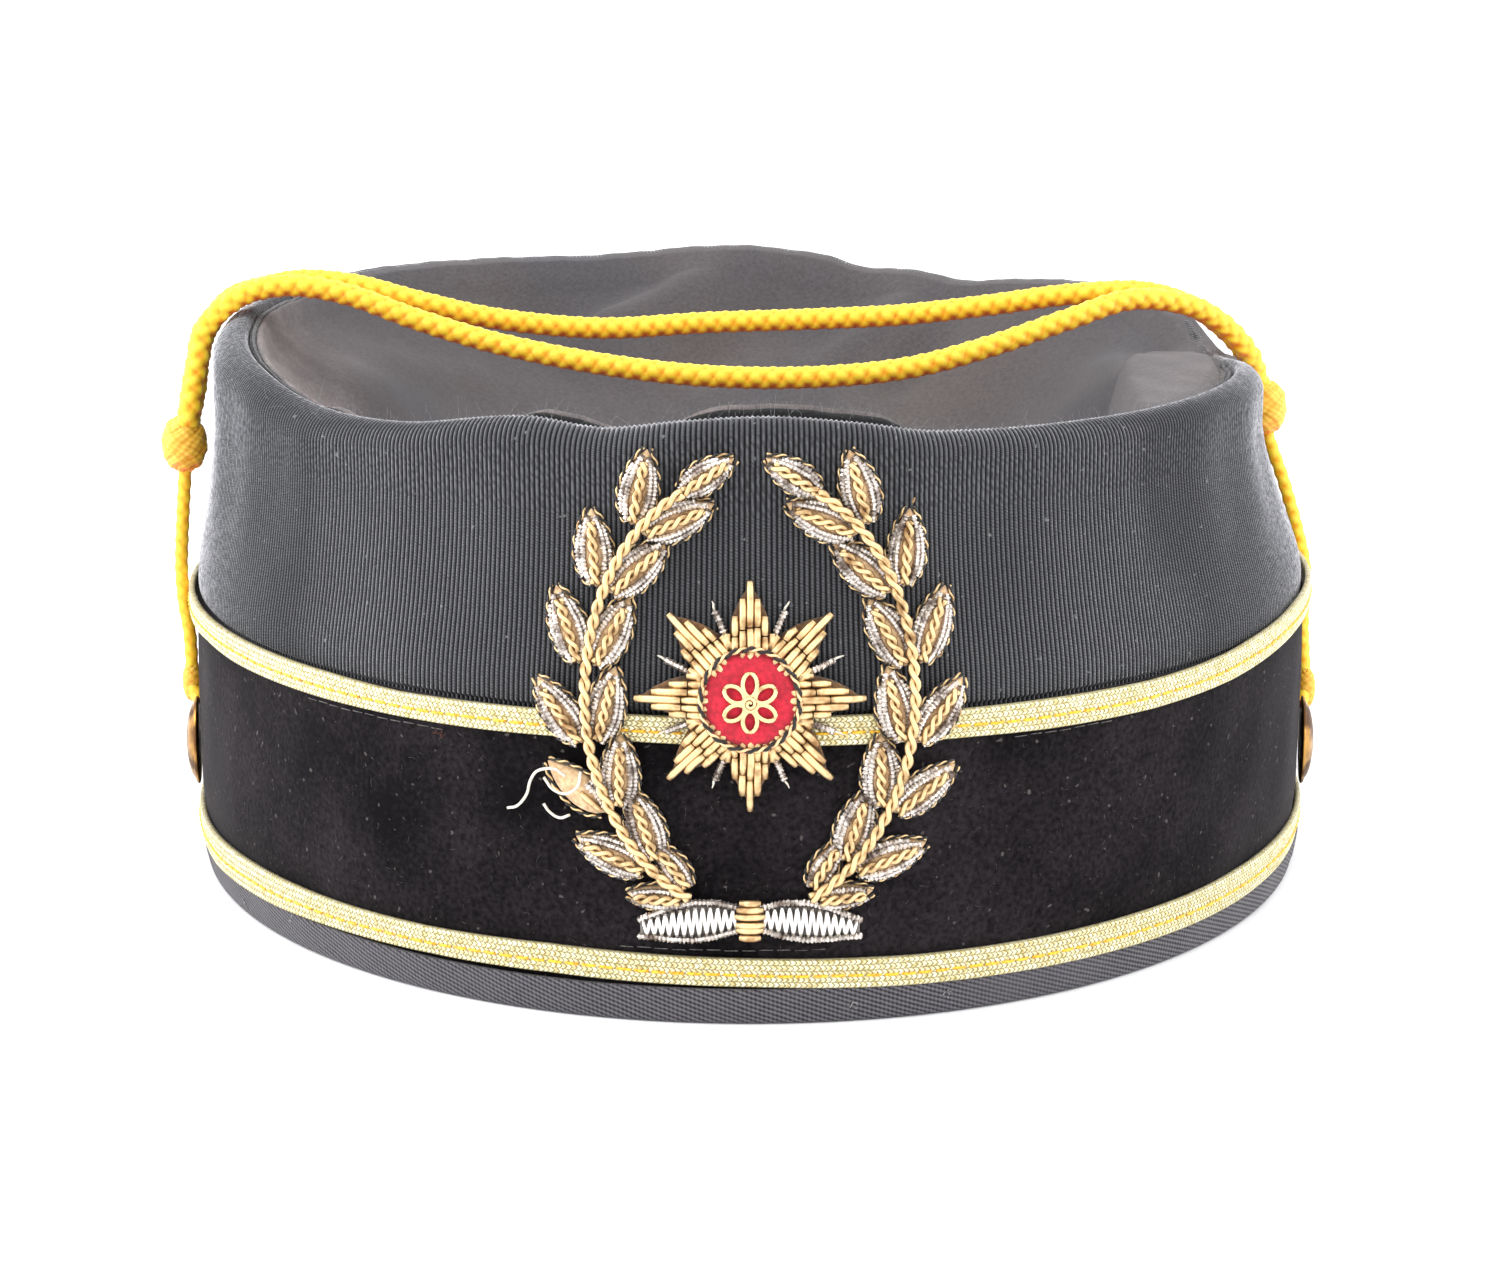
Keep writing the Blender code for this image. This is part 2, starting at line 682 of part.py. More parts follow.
def silver_bullion():
    return material("silver_bullion", (0.55, 0.52, 0.50), 0.35, 0.9)


def red_felt():
    return material("red_felt", (0.60, 0.015, 0.04), 0.95)


def build_pieces():
    """Every piece with its material, the cap's own first and then the cords."""
    strand = (CORD_RADIUS, CORD_STEP)
    leader = (LEADER_RADIUS, LEADER_STEP)
    cap = [
        (build_crown_wall(), ribbed_cloth()),
        (build_crown_top(), plain_cloth()),
        (build_velvet_band(), velvet()),
        (build_braid("braid_upper", BRAID_UPPER_BOTTOM), gold_braid()),
        (build_braid("braid_lower", BRAID_LOWER_BOTTOM), gold_braid()),
        (build_hem_binding(), twill()),
        (build_button("side_button_left", -1), brass()),
        (build_button("side_button_right", 1), brass()),
        (build_branch("emblem_branch_left", -1), silver_bullion()),
        (build_branch("emblem_branch_right", 1), silver_bullion()),
        (build_star(), gold_bullion()),
        (build_roundel(), red_felt()),
        (build_ribbon(), silver_bullion()),
    ]
    cords = [
        (build_cord("cord_back", STRAND_BACK, *strand), yellow_cord()),
        (build_cord("cord_front", STRAND_FRONT, *strand), yellow_cord()),
        (build_cord("leader_left", LEADER_LEFT, *leader), yellow_cord()),
        (build_cord("leader_right", LEADER_RIGHT, *leader), yellow_cord()),
        (build_knot("slide_knot_left", SLIDE_LEFT, SLIDE_RADIUS, SLIDE_HALF_HEIGHT), yellow_cord()),
        (build_knot("slide_knot_right", SLIDE_RIGHT, SLIDE_RADIUS, SLIDE_HALF_HEIGHT), yellow_cord()),
        (build_knot("loop_knot_left", LOOP_LEFT, LOOP_RADIUS, LOOP_HALF_HEIGHT), yellow_cord()),
        (build_knot("loop_knot_right", LOOP_RIGHT, LOOP_RADIUS, LOOP_HALF_HEIGHT), yellow_cord()),
    ]
    return cap, cords


def depth_range(items):
    """Front and back of the pieces along Y."""
    ys = [(item.matrix_world @ vert.co).y for item in items for vert in item.data.vertices]
    return min(ys), max(ys)


def build_cap():
    clear_scene()
    cap, cords = build_pieces()
    for item, shade in cap + cords:
        item.data.materials.append(shade)
    bpy.context.view_layer.update()
    front, back = depth_range([item for item, _ in cap])
    centre = bpy.data.objects.new("cap_centre", None)
    bpy.context.collection.objects.link(centre)
    for item, _ in cap + cords:
        item.parent = centre
    centre.location.y = -(front + back) / 2


build_cap()
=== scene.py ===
"""Soft ceremonial cap, dressed: ribbed and plain cloth, velvet, braids, binding, cord, buttons, embroidery.

Tables and working lengths are millimetres from the oval's centre, +Z up, with the emblem facing -Y.
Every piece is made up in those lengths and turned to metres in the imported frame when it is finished.
"""

import math

import bmesh
import bpy
import numpy as np
from bpy.props import FloatProperty, FloatVectorProperty, IntProperty, PointerProperty
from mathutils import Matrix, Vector


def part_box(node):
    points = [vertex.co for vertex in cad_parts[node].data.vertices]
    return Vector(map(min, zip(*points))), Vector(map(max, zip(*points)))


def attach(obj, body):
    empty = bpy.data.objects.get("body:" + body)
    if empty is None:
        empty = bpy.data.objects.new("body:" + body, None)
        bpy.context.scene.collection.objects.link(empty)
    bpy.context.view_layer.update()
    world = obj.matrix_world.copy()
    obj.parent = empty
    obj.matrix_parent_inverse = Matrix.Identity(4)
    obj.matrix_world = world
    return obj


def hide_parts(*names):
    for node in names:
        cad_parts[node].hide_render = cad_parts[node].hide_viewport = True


bl_info = {
    "name": "Soft Ceremonial Cap",
    "version": (1, 0, 0),
    "blender": (4, 5, 0),
    "location": "3D View > Sidebar > Cap",
    "description": "Dresses the packed cap with its cloth, trims, cord and embroidery",
    "category": "Object",
}

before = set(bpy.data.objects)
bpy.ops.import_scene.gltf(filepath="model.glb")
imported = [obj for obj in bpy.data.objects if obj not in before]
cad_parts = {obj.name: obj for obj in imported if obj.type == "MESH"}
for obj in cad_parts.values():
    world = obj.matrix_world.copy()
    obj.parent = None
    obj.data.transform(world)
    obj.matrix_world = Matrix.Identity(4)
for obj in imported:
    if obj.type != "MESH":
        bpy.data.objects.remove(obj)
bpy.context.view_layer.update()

MM = 0.001
BODY = "root"
VELVET_BOX = [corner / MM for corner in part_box("velvet_band")]
SHIFT = np.array((0.0, (VELVET_BOX[0].y + VELVET_BOX[1].y) / 2, 0.0))

# Oval, heights and cloth, as in the solids
HALF_WIDTH, HALF_DEPTH, CROWN_HEIGHT = 87.5, 98.0, 82.0
VELVET_TOP, CLOTH_BOTTOM, HEM_TUCK = 42.5, 1.3, 1.7
BRAID_UPPER_BOTTOM, BRAID_LOWER_BOTTOM, BRAID_WIDTH, BRAID = 39.1, 5.5, 4.0, 0.7
BINDING, BINDING_HEIGHT, BINDING_LINING_HEIGHT, BINDING_ROUND = 1.0, 5.2, 8.0, 0.7
WALL, PANEL, VELVET, GAP = 1.5, 1.2, 1.0, 0.3
WALL_INSET = VELVET + GAP
RIM_LEAN, RIM_ROLL, RIM_TURN, SEAM_DROP = 7.0, 3.5, 5.0, 1.2
BOWL_DEPTH, BOWL_POWER, FOLD_FADE = 28.0, 3.2, 12
GIRTH = 583.2

# Emblem, as in the solids
EMBLEM_GAP, EMBLEM_WIDTH = 0.45, 53.0
EMBLEM_LOW, EMBLEM_HIGH = 11.7, 79.8
EMBLEM_MIDDLE, EMBLEM_HALF_HEIGHT = 45.75, 34.05
BRANCH_WIDTH, BRANCH_PAD, BRANCH_START, BRANCH_END, BRANCH_LEAVES = 9.5, 1.8, -64.0, 76.0, 7
STAR_RADIUS, STAR_PAD, STAR_POINTS, STAR_VALLEY = 15.5, 1.4, 8, 0.52
ROUNDEL_RADIUS, ROUNDEL_PAD = 6.5, 1.0
RIBBON_LENGTH, RIBBON_HEIGHT, RIBBON_PAD = 30.0, 5.0, 1.3

# Side of the crown, bottom to top: height and tuck and lean as shares
SIDE_ROWS = np.array([
    (0.000, 1.00, 0.00), (0.060, 0.55, 0.00), (0.180, 0.00, 0.00), (0.560, 0.00, 0.02), (0.620, 0.00, 0.17),
    (0.680, 0.00, 0.42), (0.740, 0.00, 0.69), (0.790, 0.00, 0.88), (0.840, 0.00, 1.00),
])

# Rim around the oval: angle from +X (front is 270), then height, lean, roll and turn as shares
RIM_ROWS = np.array([
    (0.0, 0.927, 0.91, 1.05, 0.18), (10.0, 0.92, 0.9, 0.95, 0.3), (22.0, 0.97, 0.87, 0.6, 0.3),
    (34.0, 0.987, 0.84, 0.45, 0.28),
    (50.0, 0.976, 0.8, 0.4, 0.25), (61.0, 0.958, 0.72, 0.35, 0.25), (68.0, 0.974, 0.69, 0.35, 0.25),
    (74.5, 0.973, 0.64, 0.35, 0.28), (80.0, 0.998, 0.62, 0.35, 0.3), (92.0, 1.018, 0.6, 0.35, 0.3),
    (110.0, 1.004, 0.6, 0.35, 0.3), (124.0, 1.012, 0.58, 0.38, 0.28), (142.0, 1.02, 0.5, 0.45, 0.22),
    (162.0, 1.018, 0.42, 0.65, 0.16), (178.0, 1.017, 0.37, 0.85, 0.12), (192.0, 0.998, 0.37, 0.85, 0.12),
    (205.0, 0.978, 0.38, 0.8, 0.12), (220.0, 0.95, 0.38, 0.7, 0.15), (234.0, 0.953, 0.38, 0.5, 0.12),
    (248.0, 0.986, 0.36, 0.45, 0.08), (256.0, 0.974, 0.36, 0.6, 0.08), (264.0, 0.992, 0.36, 0.22, 0.06),
    (272.0, 1.0, 0.36, 0.15, 0.06), (280.0, 0.987, 0.38, 0.18, 0.06), (288.0, 0.965, 0.42, 0.45, 0.08),
    (310.0, 0.956, 0.56, 0.45, 0.12), (332.0, 0.954, 0.76, 0.4, 0.06), (345.0, 0.951, 0.84, 0.62, 0.05),
    (352.0, 0.943, 0.88, 0.85, 0.07),
])

# Folds and dents of the sunk top: angle, radius share, height share, spread around and spread in radius
TOP_FOLDS = [
    (8.0, 0.84, 0.34, 16.0, 0.10), (342.0, 0.72, -0.10, 14.0, 0.12), (40.0, 0.70, -0.12, 14.0, 0.14),
    (64.0, 0.90, 0.14, 7.0, 0.08), (80.0, 0.86, -0.08, 7.0, 0.09), (98.0, 0.88, 0.14, 6.0, 0.10),
    (110.0, 0.82, 0.12, 7.0, 0.10), (124.0, 0.84, -0.08, 9.0, 0.12), (172.0, 0.80, 0.16, 14.0, 0.10),
    (205.0, 0.66, -0.10, 16.0, 0.14), (250.0, 0.70, 0.10, 18.0, 0.12), (292.0, 0.66, -0.08, 18.0, 0.14),
]

# Routes of the cords and places of the knots, as in the solids
STRAND_BACK = [
    (-88.0, -3.8, 68.6), (-87.3, -3.0, 72.2), (-86.9, -2.0, 76.0), (-85.8, -0.4, 80.5), (-82.0, 1.2, 85.3),
    (-76.2, 2.0, 87.2), (-70.0, 2.2, 88.1), (-62.0, 2.6, 87.2), (-52.0, 3.6, 84.4), (-40.0, 6.0, 81.4),
    (-24.0, 8.6, 79.6), (-7.0, 10.0, 80.3), (9.0, 10.2, 80.8), (24.0, 9.4, 81.6), (38.0, 7.6, 83.4),
    (50.0, 6.4, 85.2), (62.0, 6.4, 85.8), (70.2, 7.8, 83.5), (75.2, 10.0, 80.3), (79.5, 12.2, 76.0),
    (81.2, 13.8, 72.1),
]
STRAND_FRONT = [
    (-87.9, -7.4, 68.6), (-87.4, -6.8, 72.0), (-86.6, -5.7, 76.4), (-85.5, -4.2, 81.2), (-81.2, -2.7, 85.4),
    (-76.4, -1.9, 87.3), (-70.0, -1.6, 87.6), (-62.0, -2.0, 86.0), (-52.0, -3.8, 82.6), (-39.0, -6.6, 79.2),
    (-23.0, -9.6, 76.5), (-7.0, -11.8, 75.0), (9.0, -12.0, 74.8), (24.0, -10.2, 75.9), (37.0, -7.2, 78.8),
    (50.0, -3.0, 82.6), (60.0, 0.8, 85.2), (69.0, 3.8, 84.1), (75.0, 6.2, 81.0), (79.8, 8.6, 76.2),
    (81.8, 10.2, 72.1),
]
LEADER_LEFT = [
    (-89.0, -6.0, 61.4), (-89.2, -5.6, 58.4), (-89.9, -5.2, 50.9), (-90.4, -5.1, 43.5), (-90.2, -5.2, 38.0),
    (-89.5, -5.4, 33.0), (-89.3, -5.6, 28.5), (-89.3, -5.8, 25.0), (-88.7, -6.9, 23.3), (-87.9, -7.9, 22.0),
]
LEADER_RIGHT = [
    (83.8, 11.9, 64.4), (84.4, 11.4, 61.2), (86.8, 10.0, 54.5), (88.8, 8.0, 47.5), (89.9, 5.6, 42.0),
    (89.8, 4.0, 38.6), (89.2, 0.6, 33.0), (89.0, -3.4, 27.1), (89.2, -4.8, 23.8), (88.6, -6.0, 22.2), (87.9, -7.1, 21.3),
]
KNOTS = {
    "slide_knot_left": ((-89.0, -6.0, 63.4), 3.5, 4.4),
    "slide_knot_right": ((83.6, 12.0, 66.2), 3.5, 4.4),
    "loop_knot_left": ((-89.3, -5.8, 24.8), 1.5, 3.2),
    "loop_knot_right": ((89.2, -4.8, 23.4), 1.5, 3.2),
}

UP = np.array((0.0, 0.0, 1.0))


def linear(code):
    """An sRGB hex colour as linear red, green and blue."""
    shares = [int(code[place:place + 2], 16) / 255 for place in (0, 2, 4)]
    return tuple(share / 12.92 if share <= 0.04045 else ((share + 0.055) / 1.055) ** 2.4 for share in shares)


def length(name, description, millimetres):
    return FloatProperty(name=name, description=description, default=millimetres * MM, min=0.0, unit="LENGTH")


def colour(name, description, code):
    return FloatVectorProperty(name=name, description=description, default=linear(code), min=0.0, max=1.0,
                               subtype="COLOR")


class CapSizes(bpy.types.PropertyGroup):
    """Sizes of the cap's cloth and trims."""

    ribs: IntProperty(name="Ribs", description="Ribs of the crown cloth round the cap", default=744, min=100)
    rib_relief: length("Rib relief", "How far a rib stands over its groove", 0.24)
    braid_stitches: IntProperty(name="Braid stitches", description="Stitches of a braid round the cap",
                                default=750, min=100)
    braid_relief: length("Braid relief", "How far a braid's stitches stand out", 0.16)
    strand_diameter: length("Strand", "Diameter of the thick cord", 3.5)
    strand_pitch: length("Strand pitch", "Length of one plait stitch of the thick cord", 2.62)
    leader_diameter: length("Leader", "Diameter of the thin cord", 2.1)
    leader_pitch: length("Leader pitch", "Length of one plait stitch of the thin cord", 2.3)
    purl: length("Purl", "Radius of the smooth gold wire purl", 0.55)


class CapColours(bpy.types.PropertyGroup):
    """Colours of the cap's cloth and trims."""

    rib: colour("Rib", "Raised face of the ribbed cloth", "5d5e62")
    # Painted shade: the groove colour stands for the shade between two ribs
    groove: colour("Groove", "Groove between two ribs", "0d0d0f")
    panel: colour("Top panel", "Plain cloth of the sunk top", "4c4b4f")
    velvet: colour("Velvet", "Pile of the velvet band", "0c0a0c")
    braid: colour("Braid", "Metallic yarn of the braids", "c9ba7c")
    binding: colour("Binding", "Twill tape of the hem", "68656b")
    cord: colour("Cord", "Rayon of the cap cord", "ffbe18")
    gilt: colour("Gilt", "Gold wire of the embroidery", "ecce9c")
    silver: colour("Silver", "Silver wire of the embroidery", "ddd6d0")
    felt: colour("Felt", "Red felt of the roundel", "d01f38")


def hermite(start, end, slope_in, slope_out, share):
    cube, square = share**3, share**2
    return ((2 * cube - 3 * square + 1) * start + (cube - 2 * square + share) * slope_in
            + (3 * square - 2 * cube) * end + (cube - square) * slope_out)


def smooth_step(share):
    share = np.clip(share, 0.0, 1.0)
    return share * share * (3.0 - 2.0 * share)


def around(column, angle):
    """A column of RIM_ROWS at angles in degrees, as a smooth closed curve."""
    turns, values = RIM_ROWS[:, 0], RIM_ROWS[:, column]
    turns = np.concatenate((turns[-2:] - 360.0, turns, turns[:3] + 360.0))
    values = np.concatenate((values[-2:], values, values[:3]))
    angle = np.mod(np.asarray(angle, float) - RIM_ROWS[0, 0], 360.0) + RIM_ROWS[0, 0]
    near = np.searchsorted(turns, angle, side="right") - 1
    a0, a1, a2, a3 = (turns[near + step] for step in (-1, 0, 1, 2))
    v0, v1, v2, v3 = (values[near + step] for step in (-1, 0, 1, 2))
    wide = a2 - a1
    return hermite(v1, v2, (v2 - v0) / (a2 - a0) * wide, (v3 - v1) / (a3 - a1) * wide, (angle - a1) / wide)


def side_curve(column, height):
    """A column of SIDE_ROWS at heights, as a smooth curve that never overshoots its rows."""
    places, values = SIDE_ROWS[:, 0] * CROWN_HEIGHT, SIDE_ROWS[:, column]
    steps = np.diff(places)
    slopes = np.diff(values) / steps
    before, after = slopes[:-1], slopes[1:]
    same = before * after > 0
    inner = np.where(same, 2 * before * after / np.where(same, before + after, 1.0), 0.0)
    slope = np.concatenate(([slopes[0]], inner, [0.0]))
    height = np.clip(height, places[0], places[-1])
    near = np.clip(np.searchsorted(places, height, side="right") - 1, 0, len(steps) - 1)
    share = (height - places[near]) / steps[near]
    return hermite(values[near], values[near + 1], slope[near] * steps[near], slope[near + 1] * steps[near], share)


def rim(angle):
    """Height, lean, roll and turn of the rim at angles."""
    return (around(1, angle) * CROWN_HEIGHT, around(2, angle) * RIM_LEAN, WALL + around(3, angle) * RIM_ROLL,
            around(4, angle) * RIM_TURN)


def inset_at(angle, height):
    """Inset of the velvet's outer line, carried up the crown."""
    return side_curve(1, height) * HEM_TUCK + side_curve(2, height) * around(2, angle) * RIM_LEAN


def oval(angle, inset, height):
    turn = np.radians(angle)
    x, y, z = np.broadcast_arrays((HALF_WIDTH - inset) * np.cos(turn), (HALF_DEPTH - inset) * np.sin(turn), height)
    return np.stack((x, y, z), -1)


def seam_line(angle):
    """Inset and height of the seam between the wall's turned edge and the top panel."""
    height, lean, roll, turn = rim(angle)
    return lean + WALL_INSET + roll + turn + 2 * GAP, height - SEAM_DROP


def top_point(angle, share, puffed=True):
    """Upper face of the sunk panel at angles and shares of the way out from its centre."""
    inset, height = seam_line(angle)
    seam = oval(angle, inset, height)
    fold = 0.0
    for centre, radius, high, spread, along in TOP_FOLDS:
        off = ((angle - centre + 180.0) % 360.0 - 180.0) / spread
        fold = fold + high * np.exp(-off * off - ((share - radius) / along) ** 2)
    mean = CROWN_HEIGHT - SEAM_DROP
    z = (mean + (height - mean) * share**2 - BOWL_DEPTH * (1.0 - share**BOWL_POWER)
         + fold * BOWL_DEPTH * (1.0 - share**FOLD_FADE))
    x, y = seam[..., 0] * share, seam[..., 1] * share
    for x0, y0, x1, y1, high, wide in PANEL_CREASES:
        run = np.array((x1 - x0, y1 - y0))
        far = float(np.hypot(*run))
        run = run / far
        along = (x - x0) * run[0] + (y - y0) * run[1]
        off = (x - x0) * run[1] - (y - y0) * run[0]
        ends = smooth_step(along / 12.0 + 0.5) * smooth_step((far - along) / 12.0 + 0.5)
        z = z + high * np.exp(-((off / wide) ** 2)) * ends * (1.0 - share**FOLD_FADE)
    if not puffed:
        return np.stack((x, y, z), -1)
    edge = np.hypot((x - PILLOW_X) / PILLOW_WIDE, np.maximum(y - PILLOW_Y, 0.0) / PILLOW_DEEP)
    pillow = smooth_step((1.0 - edge) / 0.24) * smooth_step((y - PILLOW_FRONT) / 14.0)
    z = z + pillow * (height + PILLOW_RISE * (0.15 + 0.85 * smooth_step((y + 44.0) / 44.0)) - z)
    return np.stack((x, y, z), -1)


# Stretches of the front where the rolled seam stands up over the rim: first and last angle, and height
FRONT_LIPS = [(217.5, 226.0, 1.0), (244.5, 259.0, 1.3), (261.0, 288.0, 1.65)]

# Creases of the sunk panel: start, end, height and width
PANEL_CREASES = [
    (-3.0, 88.0, -34.0, 62.0, 3.2, 4.2),
    (-14.0, 88.0, -44.0, 62.0, -2.0, 5.5),
    (12.0, 86.0, -12.0, 64.0, -2.2, 5.5),
    (34.0, 80.0, 12.0, 68.0, 2.4, 4.0),
    (44.0, 74.0, 24.0, 58.0, -1.8, 4.5),
    (-70.0, 20.0, -44.0, 46.0, 1.4, 5.0),
]

# Pillow fold at the right of the panel: centre and half sizes of its oval edge, front end, and rise over the rim
PILLOW_X, PILLOW_Y, PILLOW_WIDE, PILLOW_DEEP, PILLOW_FRONT, PILLOW_RISE = 76.0, -34.0, 25.5, 58.0, -66.0, 2.2


def backing(height):
    """How far from the velvet's line the emblem's back stands, so that it passes over the upper braid."""
    onto_braid = smooth_step((height - BRAID_UPPER_BOTTOM + 1.5) / 9.0 + 1.0)
    onto_wall = smooth_step((height - VELVET_TOP - 0.6 - 1.5) / 9.0)
    return EMBLEM_GAP + (BRAID + GAP) * onto_braid - (BRAID + GAP + WALL_INSET) * onto_wall


def on_front(x, z, lift):
    """Points over the cap's front at sideways distances and heights, lifted off the emblem's back."""
    x, z, lift = np.broadcast_arrays(np.asarray(x, float), z, lift)
    angle = -np.degrees(np.arccos(x / HALF_WIDTH))
    stand = backing(z) + lift - inset_at(angle, z)
    y = -(HALF_DEPTH + stand) * np.sqrt(1.0 - (x / (HALF_WIDTH + stand)) ** 2)
    return np.stack((x, y, z), -1)


def unit(vectors):
    return vectors / np.linalg.norm(vectors, axis=-1, keepdims=True)


def run_length(path):
    """Distance along a path at each of its points."""
    return np.concatenate(([0.0], np.cumsum(np.linalg.norm(np.diff(path, axis=0), axis=1))))


def even_path(path, step):
    """The same path with its points one step apart."""
    run = run_length(path)
    count = max(2, int(round(run[-1] / step)) + 1)
    places = np.linspace(0.0, run[-1], count)
    return np.stack([np.interp(places, run, path[:, axis]) for axis in range(path.shape[1])], -1)


def smooth_route(points, step):
    """A smooth curve through chosen points, its own points one step apart."""
    knots = np.array(points, float)
    knots = np.vstack((2 * knots[0] - knots[1], knots, 2 * knots[-1] - knots[-2]))
    share = np.linspace(0.0, 1.0, 40, endpoint=False)[:, None]
    line = []
    for p0, p1, p2, p3 in zip(knots, knots[1:], knots[2:], knots[3:]):
        line.append(hermite(p1, p2, (p2 - p0) / 2, (p3 - p1) / 2, share))
    return even_path(np.vstack(line + [knots[-2:-1]]), step)


def carried(path, first):
    """A direction carried along a path without twisting."""
    tangents = unit(np.gradient(path, axis=0))
    ups = []
    up = np.array(first, float)
    for tangent in tangents:
        up = up - tangent * (up @ tangent)
        up = up / np.linalg.norm(up)
        ups.append(up)
    return np.array(ups)


class Work:
    """Points, faces, cloth coordinates and finishes of one piece while it is made up, in millimetres."""

    def __init__(self):
        self.points, self.faces, self.corners, self.finishes, self.smooth = [], [], [], [], []
        self.count = 0

    def add_points(self, points):
        points = np.asarray(points, float).reshape(-1, 3)
        self.points.append(points)
        self.count += len(points)
        return self.count - len(points)

    def add_faces(self, faces, corners, finish, smooth):
        faces = np.asarray(faces)
        self.faces += faces.tolist()
        self.corners.append(np.asarray(corners, float).reshape(-1, 2))
        self.finishes += [finish] * len(faces)
        self.smooth += [smooth] * len(faces)

    def grid(self, points, u, v, finish=0, closed=True, ring=False, smooth=True):
        """A net of four-sided faces over rows of points, its last column or row joined to its first if asked."""
        rows, columns = points.shape[:2]
        start = self.add_points(points)
        row = np.arange(rows if ring else rows - 1)[:, None]
        column = np.arange(columns if closed else columns - 1)[None, :]
        row, column = np.broadcast_arrays(row, column)
        below, beside = (row + 1) % rows, (column + 1) % columns
        faces = np.stack((row * columns + column, row * columns + beside, below * columns + beside,
                          below * columns + column), -1)
        u, v = np.asarray(u, float), np.asarray(v, float)
        across = np.stack((u[column], u[column + 1], u[column + 1], u[column]), -1)
        along = np.stack((v[row], v[row], v[row + 1], v[row + 1]), -1)
        self.add_faces(faces.reshape(-1, 4) + start, np.stack((across, along), -1), finish, smooth)
        return start

    def fan(self, ring, middle, finish=0, smooth=True, down=0.0):
        """Triangles from a ring of points to one in its middle, at one distance down the cloth."""
        centre = self.add_points([middle])
        ring = np.asarray(ring)
        faces = np.stack((ring, np.roll(ring, -1), np.full(len(ring), centre)), -1)
        self.add_faces(faces, np.broadcast_to((0.0, down), (len(faces), 3, 2)), finish, smooth)

    def bridge(self, many, few, finish=0):
        """Triangles between a ring of many points and a ring of fewer."""
        share = len(many) // len(few)
        step = np.arange(len(many))
        owner = ((step + share // 2) // share) % len(few)
        after = np.roll(owner, -1)
        many, few = np.asarray(many), np.asarray(few)
        faces = np.stack((many, np.roll(many, -1), few[after]), -1)
        turned = owner != after
        joins = np.stack((many[turned], few[after[turned]], few[owner[turned]]), -1)
        faces = np.vstack((faces, joins))
        self.add_faces(faces, np.zeros((len(faces), 3, 2)), finish, True)

    def tube(self, path, radius, sides, up, finish=0, smooth=True):
        """A closed tube along a path; its radius may differ at each point, or at each point and side."""
        path = np.asarray(path, float)
        tangent = unit(np.gradient(path, axis=0))
        side = unit(np.cross(tangent, np.broadcast_to(up, path.shape)))
        lift = np.cross(side, tangent)
        radius = np.asarray(radius, float)
        if radius.ndim < 2:
            radius = np.broadcast_to(radius.reshape(-1, 1), (len(path), sides))
        turn = 2 * np.pi * np.arange(sides) / sides
        out = np.cos(turn)[None, :, None] * side[:, None] + np.sin(turn)[None, :, None] * lift[:, None]
        rings = path[:, None] + radius[..., None] * out
        start = self.grid(rings, np.arange(sides + 1) / sides, run_length(path), finish, smooth=smooth)
        ring = np.arange(sides) + start
        self.fan(ring, path[0], finish, smooth)
        self.fan(ring + (len(path) - 1) * sides, path[-1], finish, smooth)

    def finish(self, name, materials):
        """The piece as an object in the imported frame, riding on the cap's one body."""
        mesh = bpy.data.meshes.new(name)
        points = (np.vstack(self.points) + SHIFT) * MM
        mesh.from_pydata(points.tolist(), [], self.faces)
        mesh.uv_layers.new(name="UVMap").data.foreach_set("uv", np.vstack(self.corners).ravel())
        for material in materials:
            mesh.materials.append(material)
        mesh.polygons.foreach_set("material_index", self.finishes)
        mesh.polygons.foreach_set("use_smooth", self.smooth)
        bm = bmesh.new()
        bm.from_mesh(mesh)
        bmesh.ops.recalc_face_normals(bm, faces=bm.faces)
        bm.to_mesh(mesh)
        bm.free()
        mesh.update()
        piece = bpy.data.objects.new(name, mesh)
        bpy.context.collection.objects.link(piece)
        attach(piece, BODY)
        return piece


def grid_normals(points):
    """Outward directions of a net of points closed round the cap."""
    along = np.gradient(points, axis=0)
    across = np.roll(points, -1, 1) - np.roll(points, 1, 1)
    return unit(np.cross(across, along))


def set_inputs(tree, node, inputs):
    """Fill or link a node's inputs, by name or number."""
    for key, value in inputs.items():
        socket = node.inputs[key]
        if isinstance(value, bpy.types.NodeSocket):
            tree.links.new(value, socket)
        elif socket.type == "RGBA":
            socket.default_value = (*value[:3], 1.0)
        else:
            socket.default_value = value


def add_node(tree, kind, *inputs, named=None, out=0, **settings):
    """Add a node with its settings and inputs, and give one of its outputs."""
    node = tree.nodes.new(kind)
    for name, value in settings.items():
        setattr(node, name, value)
    values = {place: value for place, value in enumerate(inputs) if value is not None}
    set_inputs(tree, node, values | (named or {}))
    return node.outputs[out]


def new_material(name):
    material = bpy.data.materials.new(name)
    material.use_nodes = True
    return material, material.node_tree, material.node_tree.nodes["Principled BSDF"]


